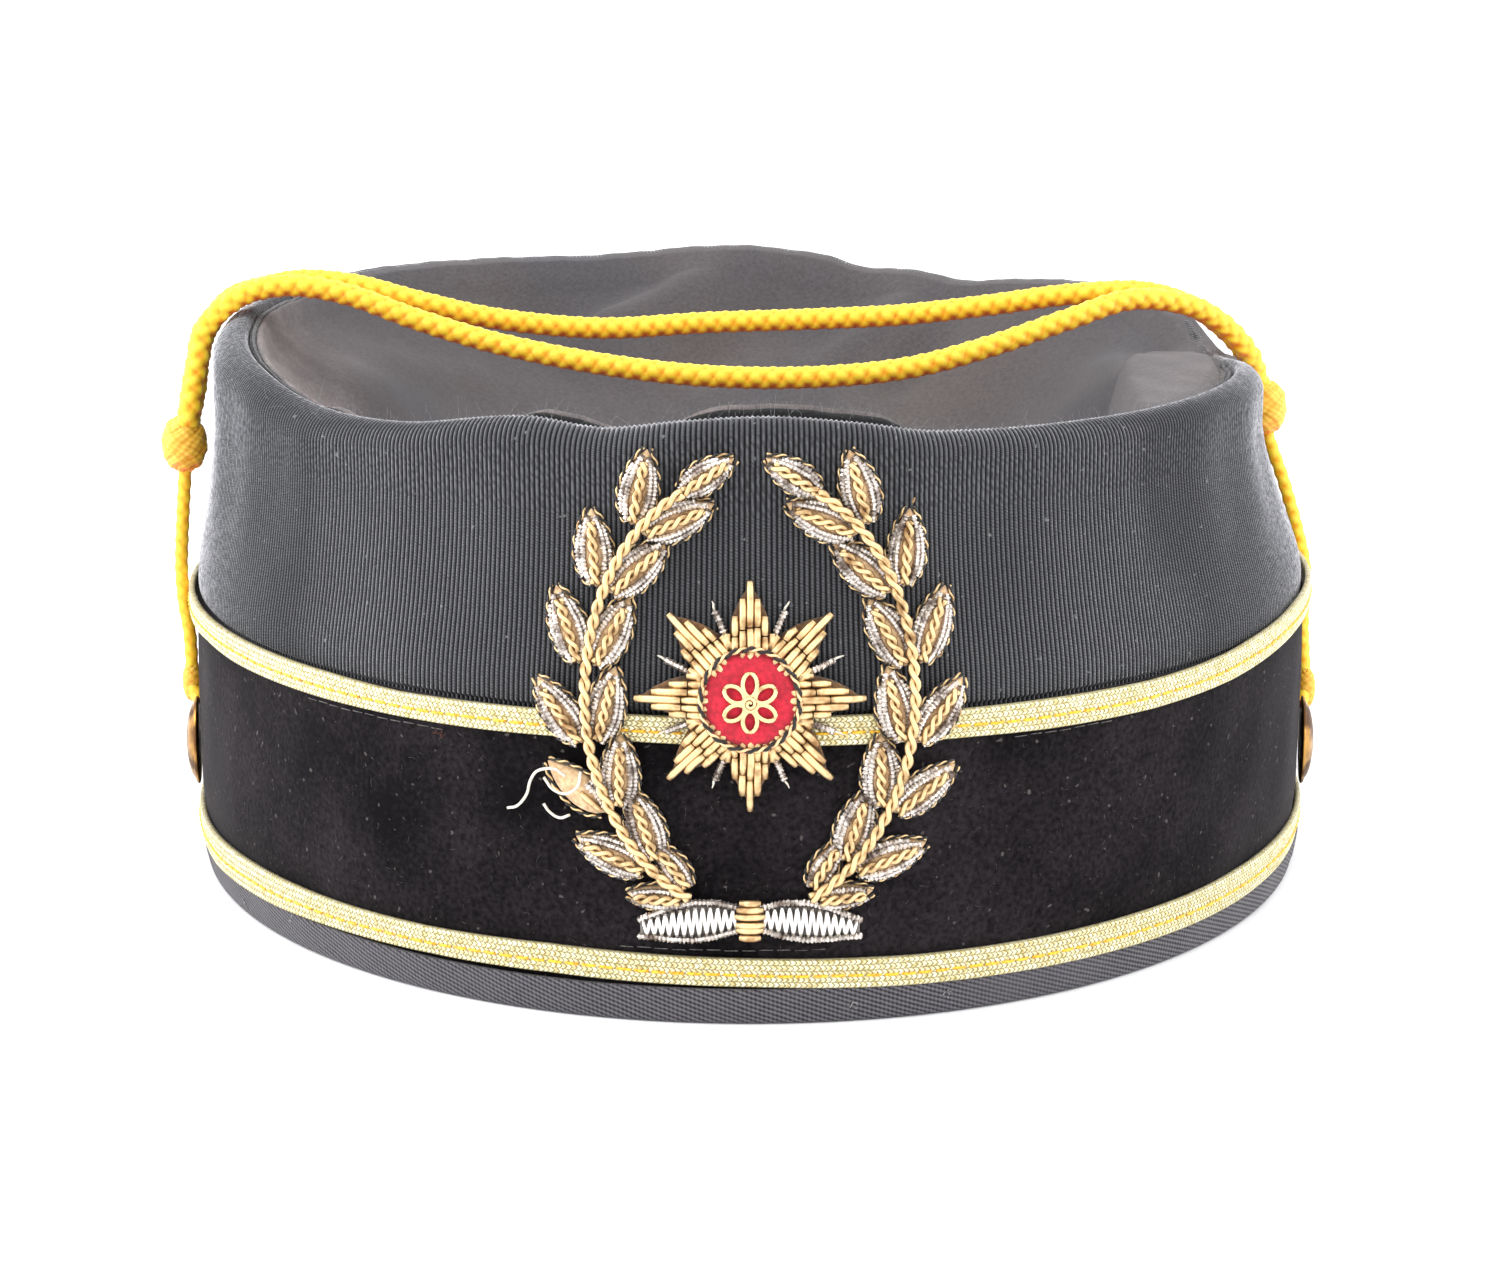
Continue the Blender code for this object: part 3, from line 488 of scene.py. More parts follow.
def ribbed_wool(colours):
    """Rib-woven wool, pressed: a dull painted lit line on each rib, painted shade in the grooves, loose fibre, and a
    painted sheen of pale fuzz where the cloth is seen edge on.
    """
    material, tree, shader = new_material("ribbed_wool")
    cloth = add_node(tree, "ShaderNodeUVMap")
    rib = add_node(tree, "ShaderNodeSeparateXYZ", cloth)
    down = add_node(tree, "ShaderNodeSeparateXYZ", cloth, out=1)
    place = add_node(tree, "ShaderNodeTexCoord", out=3)
    turn = add_node(tree, "ShaderNodeMath", rib, 2 * math.pi, operation="MULTIPLY")
    wave = add_node(tree, "ShaderNodeMath", turn, operation="COSINE")
    ridge = add_node(tree, "ShaderNodeMapRange", wave, 0.8, -0.9, 0.0, 1.0)
    # Threads lie 0.42 mm apart along a rib, staggered from one rib to the next
    row = add_node(tree, "ShaderNodeMath", down, 2 * math.pi / 0.42, operation="MULTIPLY")
    lean = add_node(tree, "ShaderNodeMath", rib, math.pi * 1.31, row, operation="MULTIPLY_ADD")
    uneven = add_node(tree, "ShaderNodeTexNoise", None, named={"Vector": place, "Scale": 600.0, "Detail": 1.0})
    lean = add_node(tree, "ShaderNodeMath", uneven, 14.0, lean, operation="MULTIPLY_ADD")
    stitch = add_node(tree, "ShaderNodeMath", lean, operation="SINE")
    speck = add_node(tree, "ShaderNodeTexNoise", None, named={"Vector": place, "Scale": 2600.0, "Detail": 2.0})
    cloudy = add_node(tree, "ShaderNodeTexNoise", None, named={"Vector": place, "Scale": 45.0, "Detail": 4.0})
    dots = add_node(tree, "ShaderNodeMath", stitch, 0.26, 0.32, operation="MULTIPLY_ADD")
    dots = add_node(tree, "ShaderNodeMath", speck, 0.85, dots, operation="MULTIPLY_ADD")
    lit = add_node(tree, "ShaderNodeMath", ridge, dots, operation="MULTIPLY")
    soft = add_node(tree, "ShaderNodeMapRange", cloudy, 0.3, 0.7, 0.82, 1.12)
    lit = add_node(tree, "ShaderNodeMath", lit, soft, operation="MULTIPLY", use_clamp=True)
    # Painted shade: the grooves between ribs are coloured near black, and each rib carries a painted lit line
    base = add_node(tree, "ShaderNodeMix", lit, named={6: colours.groove, 7: colours.rib}, out=2, data_type="RGBA")
    fleck = add_node(tree, "ShaderNodeTexNoise", None, named={"Vector": place, "Scale": 900.0, "Detail": 1.0})
    fleck = add_node(tree, "ShaderNodeMapRange", fleck, 0.74, 0.80, 0.0, 0.5)
    base = add_node(tree, "ShaderNodeMix", fleck, named={6: base, 7: linear("8f908e")}, out=2, data_type="RGBA")
    # Painted sheen: a pale fuzz colour is mixed in where the cloth is seen edge on
    turned = add_node(tree, "ShaderNodeLayerWeight", 0.5, out=1)
    fuzz = add_node(tree, "ShaderNodeMapRange", turned, 0.5, 0.9, 0.0, 0.9)
    sheen_fuzz = add_node(tree, "ShaderNodeTexNoise", None, named={"Vector": place, "Scale": 1300.0, "Detail": 3.0})
    sheen_fuzz = add_node(tree, "ShaderNodeMapRange", sheen_fuzz, 0.36, 0.66, 0.0, 1.0)
    sheen_fuzz = add_node(tree, "ShaderNodeMix", sheen_fuzz, named={6: linear("66666b"), 7: linear("d2d2d6")}, out=2,
                     data_type="RGBA")
    base = add_node(tree, "ShaderNodeMix", fuzz, named={6: base, 7: sheen_fuzz}, out=2, data_type="RGBA")
    bump = add_node(tree, "ShaderNodeBump", named={"Strength": 0.9, "Distance": 0.0001, "Height": lit})
    set_inputs(tree, shader, {"Base Color": base, "Roughness": 0.93, "Normal": bump, "Sheen Weight": 0.5,
                              "Sheen Roughness": 0.42, "Sheen Tint": linear("c6c6cb"), "Specular IOR Level": 0.2})
    return material


def plain_worsted(colours, name="plain_worsted"):
    """Worsted cloth, plain woven and pressed: matt, with a fine even grain and warm worn patches."""
    material, tree, shader = new_material(name)
    place = add_node(tree, "ShaderNodeTexCoord", out=3)
    parts = [add_node(tree, "ShaderNodeSeparateXYZ", place, out=axis) for axis in range(2)]
    # Threads lie 0.4 mm apart, drawn at 0.6 mm so that they show
    warp, weft = (add_node(tree, "ShaderNodeMath",
                           add_node(tree, "ShaderNodeMath", part, 2 * math.pi / 0.0006, operation="MULTIPLY"),
                           operation="SINE") for part in parts)
    weave = add_node(tree, "ShaderNodeMath", warp, weft, operation="MULTIPLY")
    grain = add_node(tree, "ShaderNodeTexNoise", None, named={"Vector": place, "Scale": 1500.0, "Detail": 3.0})
    patch = add_node(tree, "ShaderNodeTexNoise", None, named={"Vector": place, "Scale": 22.0, "Detail": 4.0})
    warm = add_node(tree, "ShaderNodeMapRange", patch, 0.34, 0.74, 0.0, 0.9)
    base = add_node(tree, "ShaderNodeMix", warm, named={6: colours.panel, 7: linear("5c5451")}, out=2,
                    data_type="RGBA")
    # Pale just inside the seam at the front, most on the left: partly worn cloth, partly painted light where the sunk
    # top's left slope faces the lamps
    inside = add_node(tree, "ShaderNodeSeparateXYZ", add_node(tree, "ShaderNodeUVMap"), out=1)
    inside = add_node(tree, "ShaderNodeMapRange", inside, 5.0, 30.0, 1.0, 0.0)
    front = add_node(tree, "ShaderNodeMapRange", parts[1], 0.03, -0.02, 0.0, 1.0)
    left = add_node(tree, "ShaderNodeMapRange", parts[0], 0.035, -0.06, 0.25, 1.0)
    front = add_node(tree, "ShaderNodeMath", front, left, operation="MULTIPLY")
    streak = add_node(tree, "ShaderNodeTexNoise", None, named={"Vector": place, "Scale": 140.0, "Detail": 4.0})
    streak = add_node(tree, "ShaderNodeMapRange", streak, 0.36, 0.66, 0.40, 0.95)
    worn_and_lit = add_node(tree, "ShaderNodeMath", inside, front, operation="MULTIPLY")
    worn_and_lit = add_node(tree, "ShaderNodeMath", worn_and_lit, streak, operation="MULTIPLY")
    base = add_node(tree, "ShaderNodeMix", worn_and_lit, named={6: base, 7: linear("958b89")}, out=2, data_type="RGBA")
    fine = add_node(tree, "ShaderNodeMath", weave, 0.10, grain, operation="MULTIPLY_ADD")
    dark = add_node(tree, "ShaderNodeMapRange", fine, 0.3, 0.75, 0.45, 0.0)
    base = add_node(tree, "ShaderNodeMix", dark, named={6: base, 7: linear("2e2c2f")}, out=2, data_type="RGBA")
    bump = add_node(tree, "ShaderNodeBump", named={"Strength": 0.5, "Distance": 0.00006, "Height": fine})
    set_inputs(tree, shader, {"Base Color": base, "Roughness": 0.92, "Normal": bump, "Sheen Weight": 0.2,
                              "Sheen Roughness": 0.5, "Sheen Tint": linear("b5b3b5"), "Specular IOR Level": 0.2})
    return material


def cotton_velvet(colours):
    """Cotton velvet, its pile brushed down: deep black that greys where the pile is seen edge on."""
    material, tree, shader = new_material("cotton_velvet")
    place = add_node(tree, "ShaderNodeTexCoord", out=3)
    pile = add_node(tree, "ShaderNodeTexNoise", None, named={"Vector": place, "Scale": 1400.0, "Detail": 4.0})
    brushed = add_node(tree, "ShaderNodeTexNoise", None, named={"Vector": place, "Scale": 60.0, "Detail": 4.0})
    lit = add_node(tree, "ShaderNodeMath", pile, brushed, operation="MULTIPLY")
    lit = add_node(tree, "ShaderNodeMapRange", lit, 0.15, 0.45, 0.0, 1.0)
    base = add_node(tree, "ShaderNodeMix", lit, named={6: colours.velvet, 7: linear("2a2629")}, out=2,
                    data_type="RGBA")
    dust = add_node(tree, "ShaderNodeTexNoise", None, named={"Vector": place, "Scale": 1100.0, "Detail": 0.0})
    dust = add_node(tree, "ShaderNodeMapRange", dust, 0.79, 0.84, 0.0, 0.35)
    base = add_node(tree, "ShaderNodeMix", dust, named={6: base, 7: linear("77706e")}, out=2, data_type="RGBA")
    bump = add_node(tree, "ShaderNodeBump", named={"Strength": 0.6, "Distance": 0.00012, "Height": pile})
    set_inputs(tree, shader, {"Base Color": base, "Roughness": 0.9, "Normal": bump, "Sheen Weight": 0.12,
                              "Sheen Roughness": 0.38, "Sheen Tint": linear("bdb8be"), "Specular IOR Level": 0.05})
    return material


def lurex_braid(colours):
    """Braid of metallised yarn, plaited flat: bright pale stitches with painted glints, and painted shade in the small
    gaps between them.
    """
    material, tree, shader = new_material("lurex_braid")
    cloth = add_node(tree, "ShaderNodeUVMap")
    stitch = add_node(tree, "ShaderNodeSeparateXYZ", cloth)
    lane = add_node(tree, "ShaderNodeSeparateXYZ", cloth, out=1)
    place = add_node(tree, "ShaderNodeTexCoord", out=3)
    inside = add_node(tree, "ShaderNodeMath", lane, operation="FRACT")
    off = add_node(tree, "ShaderNodeMath", inside, 0.5, operation="SUBTRACT")
    off = add_node(tree, "ShaderNodeMath", off, operation="ABSOLUTE")
    shifted = add_node(tree, "ShaderNodeMath", off, 1.1, stitch, operation="MULTIPLY_ADD")
    number = add_node(tree, "ShaderNodeMath", lane, operation="FLOOR")
    shifted = add_node(tree, "ShaderNodeMath", number, 0.5, shifted, operation="MULTIPLY_ADD")
    phase = add_node(tree, "ShaderNodeMath", shifted, operation="FRACT")
    phase = add_node(tree, "ShaderNodeMath", phase, 0.5, operation="SUBTRACT")
    phase = add_node(tree, "ShaderNodeMath", phase, operation="ABSOLUTE")
    seam = add_node(tree, "ShaderNodeMapRange", phase, 0.30, 0.46, 0.0, 1.0)
    edge = add_node(tree, "ShaderNodeMapRange", off, 0.36, 0.5, 0.0, 0.9)
    gap = add_node(tree, "ShaderNodeMath", seam, edge, operation="MAXIMUM")
    # Painted glints: a paler yarn colour is mixed in at random spots
    sparkle = add_node(tree, "ShaderNodeTexNoise", None, named={"Vector": place, "Scale": 1700.0, "Detail": 2.0})
    painted_glint = add_node(tree, "ShaderNodeMapRange", sparkle, 0.35, 0.65, 0.0, 1.0)
    base = add_node(tree, "ShaderNodeMix", painted_glint, named={6: colours.braid, 7: linear("fbf4d2")}, out=2,
                    data_type="RGBA")
    # Painted shade: the gaps between stitches and along the lane edges are coloured dull olive
    shade = add_node(tree, "ShaderNodeMath", gap, 0.95, operation="MULTIPLY")
    base = add_node(tree, "ShaderNodeMix", shade, named={6: base, 7: linear("6d5f30")}, out=2, data_type="RGBA")
    rough = add_node(tree, "ShaderNodeMapRange", sparkle, 0.3, 0.7, 0.55, 0.28)
    high = add_node(tree, "ShaderNodeMath", 1.0, gap, operation="SUBTRACT")
    bump = add_node(tree, "ShaderNodeBump", named={"Strength": 0.6, "Distance": 0.0001, "Height": high})
    set_inputs(tree, shader, {"Base Color": base, "Metallic": 0.35, "Roughness": rough, "Normal": bump})
    return material


def cotton_twill(colours):
    """Cotton twill tape, woven in diagonal lines: matt, with painted shade in the small dark gaps and pale dust."""
    material, tree, shader = new_material("cotton_twill")
    cloth = add_node(tree, "ShaderNodeUVMap")
    along = add_node(tree, "ShaderNodeSeparateXYZ", cloth)
    down = add_node(tree, "ShaderNodeSeparateXYZ", cloth, out=1)
    place = add_node(tree, "ShaderNodeTexCoord", out=3)
    # Twill lines 0.68 mm apart across the tape and 1.8 mm along it
    slant = add_node(tree, "ShaderNodeMath", along, -1 / 1.8, operation="MULTIPLY")
    slant = add_node(tree, "ShaderNodeMath", down, 1 / 0.68, slant, operation="MULTIPLY_ADD")
    turn = add_node(tree, "ShaderNodeMath", slant, 2 * math.pi, operation="MULTIPLY")
    line = add_node(tree, "ShaderNodeMath", turn, operation="SINE")
    cross = add_node(tree, "ShaderNodeMath", along, 2 * math.pi / 0.62, operation="MULTIPLY")
    cross = add_node(tree, "ShaderNodeMath", cross, operation="SINE")
    weave = add_node(tree, "ShaderNodeMath", cross, 0.45, line, operation="MULTIPLY_ADD")
    grain = add_node(tree, "ShaderNodeTexNoise", None, named={"Vector": place, "Scale": 1800.0, "Detail": 2.0})
    weave = add_node(tree, "ShaderNodeMath", grain, 1.4, weave, operation="MULTIPLY_ADD")
    high = add_node(tree, "ShaderNodeMapRange", weave, -0.5, 1.9, 0.0, 1.0)
    # Painted shade: the low lines of the twill are coloured near black
    base = add_node(tree, "ShaderNodeMix", high, named={6: linear("1d1c20"), 7: colours.binding}, out=2,
                    data_type="RGBA")
    worn = add_node(tree, "ShaderNodeTexNoise", None, named={"Vector": place, "Scale": 30.0, "Detail": 5.0})
    worn = add_node(tree, "ShaderNodeMapRange", worn, 0.5, 0.75, 0.0, 0.35)
    base = add_node(tree, "ShaderNodeMix", worn, named={6: base, 7: linear("57565b")}, out=2, data_type="RGBA")
    bump = add_node(tree, "ShaderNodeBump", named={"Strength": 0.8, "Distance": 0.0001, "Height": high})
    set_inputs(tree, shader, {"Base Color": base, "Roughness": 0.9, "Normal": bump, "Sheen Weight": 0.1,
                              "Specular IOR Level": 0.25})
    return material


def rayon_cord(name, yarn, crest_highlight):
    """Rayon yarn, plaited tight: glossy golden yellow, with painted highlights on the crests and painted deep orange
    shade in the grooves and underneath.
    """
    material, tree, shader = new_material(name)
    place = add_node(tree, "ShaderNodeTexCoord", out=3)
    cloth = add_node(tree, "ShaderNodeUVMap")
    high = add_node(tree, "ShaderNodeSeparateXYZ", cloth, out=1)
    fibre = add_node(tree, "ShaderNodeTexNoise", None, named={"Vector": place, "Scale": 2300.0, "Detail": 3.0})
    uneven = add_node(tree, "ShaderNodeTexNoise", None, named={"Vector": place, "Scale": 900.0, "Detail": 2.0})
    high = add_node(tree, "ShaderNodeMath", uneven, 0.7, add_node(tree, "ShaderNodeMath", high, 0.35,
                    operation="SUBTRACT"), operation="MULTIPLY_ADD")
    # Painted shade and highlight: the plait's grooves are coloured deep orange and its crests paler
    deep = add_node(tree, "ShaderNodeMapRange", high, 0.12, 0.62, 1.0, 0.0)
    base = add_node(tree, "ShaderNodeMix", deep, named={6: yarn, 7: linear("f69606")}, out=2,
                    data_type="RGBA")
    bright = add_node(tree, "ShaderNodeMapRange", high, 0.6, 0.95, 0.0, 0.85)
    base = add_node(tree, "ShaderNodeMix", bright, named={6: base, 7: linear(crest_highlight)}, out=2, data_type="RGBA")
    # Painted shade: where the surface faces down, the cord is coloured deep orange
    facing = add_node(tree, "ShaderNodeSeparateXYZ", add_node(tree, "ShaderNodeNewGeometry", out=1), out=2)
    under = add_node(tree, "ShaderNodeMapRange", facing, -0.35, -0.9, 0.0, 0.9)
    base = add_node(tree, "ShaderNodeMix", under, named={6: base, 7: linear("f26408")}, out=2, data_type="RGBA")
    bump = add_node(tree, "ShaderNodeBump", named={"Strength": 0.35, "Distance": 0.0001, "Height": fibre})
    set_inputs(tree, shader, {"Base Color": base, "Roughness": 0.5, "Normal": bump, "Sheen Weight": 0.1,
                              "Subsurface Weight": 0.35, "Subsurface Scale": 0.0016,
                              "Subsurface Radius": (1.0, 0.6, 0.08)})
    return material


def antique_brass():
    """Brass, stamped and lacquered brown: dark lacquer in random patches, golden where the lacquer is worn through."""
    material, tree, shader = new_material("antique_brass")
    place = add_node(tree, "ShaderNodeTexCoord", out=3)
    worn = add_node(tree, "ShaderNodeTexNoise", None, named={"Vector": place, "Scale": 260.0, "Detail": 5.0})
    worn = add_node(tree, "ShaderNodeMapRange", worn, 0.42, 0.62, 0.0, 1.0)
    base = add_node(tree, "ShaderNodeMix", worn, named={6: linear("5a3d22"), 7: linear("b98a45")}, out=2,
                    data_type="RGBA")
    rough = add_node(tree, "ShaderNodeMapRange", worn, 0.0, 1.0, 0.5, 0.3)
    bump = add_node(tree, "ShaderNodeBump", named={"Strength": 0.25, "Distance": 0.0001, "Height": worn})
    set_inputs(tree, shader, {"Base Color": base, "Metallic": 1.0, "Roughness": rough, "Normal": bump})
    return material


def wire_purl(name, bright, tarnish_and_shade, spread, pitch, roughness):
    """Fine metal wire wound into a tube: bright on its crown, with painted shade towards its edges, tarnished in
    patches, its turns just visible.
    """
    material, tree, shader = new_material(name)
    cloth = add_node(tree, "ShaderNodeUVMap")
    place = add_node(tree, "ShaderNodeTexCoord", out=3)
    run = add_node(tree, "ShaderNodeSeparateXYZ", cloth, out=1)
    patch = add_node(tree, "ShaderNodeTexNoise", None, named={"Vector": place, "Scale": 420.0, "Detail": 4.0})
    patch = add_node(tree, "ShaderNodeMapRange", patch, *spread, 0.0, 0.85)
    base = add_node(tree, "ShaderNodeMix", patch, named={6: bright, 7: linear(tarnish_and_shade)}, out=2, data_type="RGBA")
    # Painted shade: the wire darkens towards the tarnish colour where it turns away from the camera
    turned = add_node(tree, "ShaderNodeLayerWeight", 0.5, out=1)
    edge = add_node(tree, "ShaderNodeMapRange", turned, 0.3, 0.9, 0.0, 0.75)
    base = add_node(tree, "ShaderNodeMix", edge, named={6: base, 7: linear(tarnish_and_shade)}, out=2, data_type="RGBA")
    turn = add_node(tree, "ShaderNodeMath", run, 2 * math.pi / pitch, operation="MULTIPLY")
    wound = add_node(tree, "ShaderNodeMath", turn, operation="SINE")
    bump = add_node(tree, "ShaderNodeBump", named={"Strength": 0.4, "Distance": 0.00004, "Height": wound})
    rough = add_node(tree, "ShaderNodeMapRange", patch, 0.0, 0.85, roughness, roughness + 0.2)
    set_inputs(tree, shader, {"Base Color": base, "Metallic": 0.85, "Roughness": rough, "Normal": bump})
    return material


def wool_felt(name, face, deep):
    """Wool felt, pressed from loose fibre: matt and slightly cloudy, with a short fuzz."""
    material, tree, shader = new_material(name)
    place = add_node(tree, "ShaderNodeTexCoord", out=3)
    fuzz = add_node(tree, "ShaderNodeTexNoise", None, named={"Vector": place, "Scale": 1500.0, "Detail": 4.0})
    cloud = add_node(tree, "ShaderNodeTexNoise", None, named={"Vector": place, "Scale": 300.0, "Detail": 3.0})
    lit = add_node(tree, "ShaderNodeMath", fuzz, cloud, operation="MULTIPLY")
    lit = add_node(tree, "ShaderNodeMapRange", lit, 0.15, 0.36, 0.0, 1.0)
    base = add_node(tree, "ShaderNodeMix", lit, named={6: deep, 7: face}, out=2, data_type="RGBA")
    bump = add_node(tree, "ShaderNodeBump", named={"Strength": 0.7, "Distance": 0.0002, "Height": fuzz})
    set_inputs(tree, shader, {"Base Color": base, "Roughness": 0.95, "Normal": bump, "Sheen Weight": 0.25,
                              "Sheen Roughness": 0.5})
    return material


def spun_thread(name, face, deep, roughness=0.7):
    """Spun thread: soft, with the twist of its fibres in fine light and dark."""
    material, tree, shader = new_material(name)
    place = add_node(tree, "ShaderNodeTexCoord", out=3)
    fibre = add_node(tree, "ShaderNodeTexNoise", None, named={"Vector": place, "Scale": 3000.0, "Detail": 2.0})
    lit = add_node(tree, "ShaderNodeMapRange", fibre, 0.35, 0.65, 0.0, 1.0)
    base = add_node(tree, "ShaderNodeMix", lit, named={6: linear(deep), 7: linear(face)}, out=2, data_type="RGBA")
    set_inputs(tree, shader, {"Base Color": base, "Roughness": roughness, "Sheen Weight": 0.1})
    return material


def studio_floor():
    """Matt painted board, rolled: an even near-white with a very faint tooth."""
    material, tree, shader = new_material("painted_board")
    place = add_node(tree, "ShaderNodeTexCoord", out=3)
    tooth = add_node(tree, "ShaderNodeTexNoise", None, named={"Vector": place, "Scale": 60.0, "Detail": 3.0})
    base = add_node(tree, "ShaderNodeMix", tooth, named={6: linear("f6f7f9"), 7: linear("fbfbfc")}, out=2,
                    data_type="RGBA")
    set_inputs(tree, shader, {"Base Color": base, "Roughness": 0.9, "Specular IOR Level": 0.1})
    return material


def girth_mm(columns):
    """Cloth coordinate round the cap, in millimetres, for a closed net of columns."""
    return np.arange(columns + 1) * GIRTH / columns


def hairs(work, roots, outward, rng, lengths, radius, finish):
    """Loose fibres that start at roots and curl away from the cloth."""
    for root, out in zip(roots, outward):
        far = rng.uniform(*lengths)
        bend = rng.normal(0.0, 0.55, 3)
        curl = rng.normal(0.0, 0.5, 3)
        share = np.linspace(0.0, 1.0, 4)[:, None]
        path = root + far * (share * (out + bend * 0.7) + share**2 * curl)
        work.tube(path, radius * (1.0 - 0.5 * share[:, 0]), 3, np.array((0.31, 0.47, 0.83)), finish)


def lint(work, surface, rng, count, lengths, radius, finish):
    """Fibres that lie on the cloth: surface turns a distance round the cap and a height into a point."""
    for _ in range(count):
        angle, height = rng.uniform(0.0, 360.0), rng.uniform(0.0, 1.0)
        far, turn = rng.uniform(*lengths), rng.uniform(0.0, 2 * math.pi)
        bend = rng.uniform(-1.5, 1.5)
        share = np.linspace(-0.5, 0.5, 4)
        heading = turn + bend * share
        across, up = np.cumsum(np.cos(heading)) * far / 4, np.cumsum(np.sin(heading)) * far / 4
        path = surface(angle + across * 360.0 / GIRTH, height, up)
        work.tube(path, radius, 3, UP + 0.1, finish)


def over_braid(z):
    """How far the ribbed cloth bulges out just above the braid that it is sewn under."""
    return 0.8 * smooth_step((z - 42.9) / 0.6) * (1.0 - smooth_step((z - 43.5) / 12.0))


def make_ribbed_side(scene):
    sizes, colours = scene.cap_sizes, scene.cap_colours
    ribs, samples, coarse = sizes.ribs, 4, sizes.ribs // 4
    angle = np.arange(ribs * samples) * 360.0 / (ribs * samples)
    height, lean, roll, turn = rim(angle)
    low, top = 38.0, SIDE_ROWS[-1, 0] * CROWN_HEIGHT
    rows = [(inset_at(angle, z) + WALL_INSET - over_braid(z), np.full_like(angle, z))
            for z in (low, 42.9, 43.4, 44.2, 45.4, 47.0, 49.0, 51.5, 54.5, 58.0, 61.5, 65.2, top)]
    start = height - roll
    rows += [(lean + WALL_INSET, top + (start - top) * share) for share in (0.35, 0.7, 1.0)]
    for arc in np.radians(np.linspace(12.0, 90.0, 8)):
        rows.append((lean + WALL_INSET + roll * (1 - np.cos(arc)), start + roll * np.sin(arc)))
    flat = lean + WALL_INSET + roll
    rows += [(flat + (turn + GAP) * share, height - SEAM_DROP * share**2) for share in (0.5, 0.85)]
    rows.append((flat + turn + GAP, height - SEAM_DROP - 0.5))
    base = np.stack([oval(angle, *row) for row in rows])
    run = run_length(base[:, 0]) + low
    ridge = 0.5 - 0.5 * np.cos(2 * np.pi * np.arange(ribs * samples) / samples)
    ripple = (0.22 * np.sin(np.radians(angle) * 13 + 1.0) + 0.16 * np.sin(np.radians(angle) * 29 + 2.0))
    fade = smooth_step((base[..., 2] - 48.0) / 16.0) * smooth_step((height - base[..., 2]) / 5.0)
    relief = sizes.rib_relief / MM * (ridge - 0.5) + ripple * fade
    skin = base + grid_normals(base) * relief[..., None]
    work = Work()
    outer = work.grid(skin, np.arange(ribs * samples + 1) / samples, run)
    angle = np.arange(coarse) * 360.0 / coarse
    height, lean, roll, turn = rim(angle)
    seam_inset, under = lean + WALL_INSET + roll + turn + GAP, height - SEAM_DROP - WALL
    rows = [(seam_inset, under)]
    for arc in np.radians((90.0, 60.0, 30.0, 0.0)):
        inner = roll - WALL
        rows.append((lean + WALL_INSET + roll - inner * np.cos(arc), height - roll + inner * np.sin(arc)))
    rows += [(inset_at(angle, z) + WALL_INSET + WALL, np.full_like(angle, z))
             for z in np.linspace(top, CLOTH_BOTTOM, 14)]
    rows += [(inset_at(angle, z) + WALL_INSET, np.full_like(angle, z)) for z in (CLOTH_BOTTOM, 8.0, 20.0, 34.0)]
    inside = np.stack([oval(angle, *row) for row in rows])
    inner = work.grid(inside, girth_mm(coarse), run_length(inside[:, 0]), 1)
    many, few = np.arange(ribs * samples), np.arange(coarse)
    work.bridge(many + outer, few + inner + (len(rows) - 1) * coarse, 1)
    work.bridge(many + outer + (len(skin) - 1) * ribs * samples, few + inner, 1)
    rng = np.random.default_rng(11)
    picks = rng.integers(0, ribs * samples, 420)
    level = rng.integers(19, len(skin) - 1, 420)
    hairs(work, skin[level, picks], grid_normals(skin)[level, picks] + UP * 0.4, rng, (0.5, 1.7), 0.02, 2)
    # A tan husk caught in the ribs, right of the emblem's top
    husk = oval(284.8 + np.linspace(0.0, 0.25, 4), inset_at(284.8, 70.6) + WALL_INSET - 0.25, np.linspace(70.2, 71.0, 4))
    work.tube(husk, (0.12, 0.2, 0.18, 0.08), 5, UP, 3)
    piece = work.finish("crown_side", [ribbed_wool(colours), plain_worsted(colours, "worsted_back"),
                                       spun_thread("grey_fibre", "9a9b9b", "5a5c5d", 0.9),
                                       spun_thread("tan_husk", "b08a5e", "6e5232", 0.9)])
    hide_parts("crown_wall")


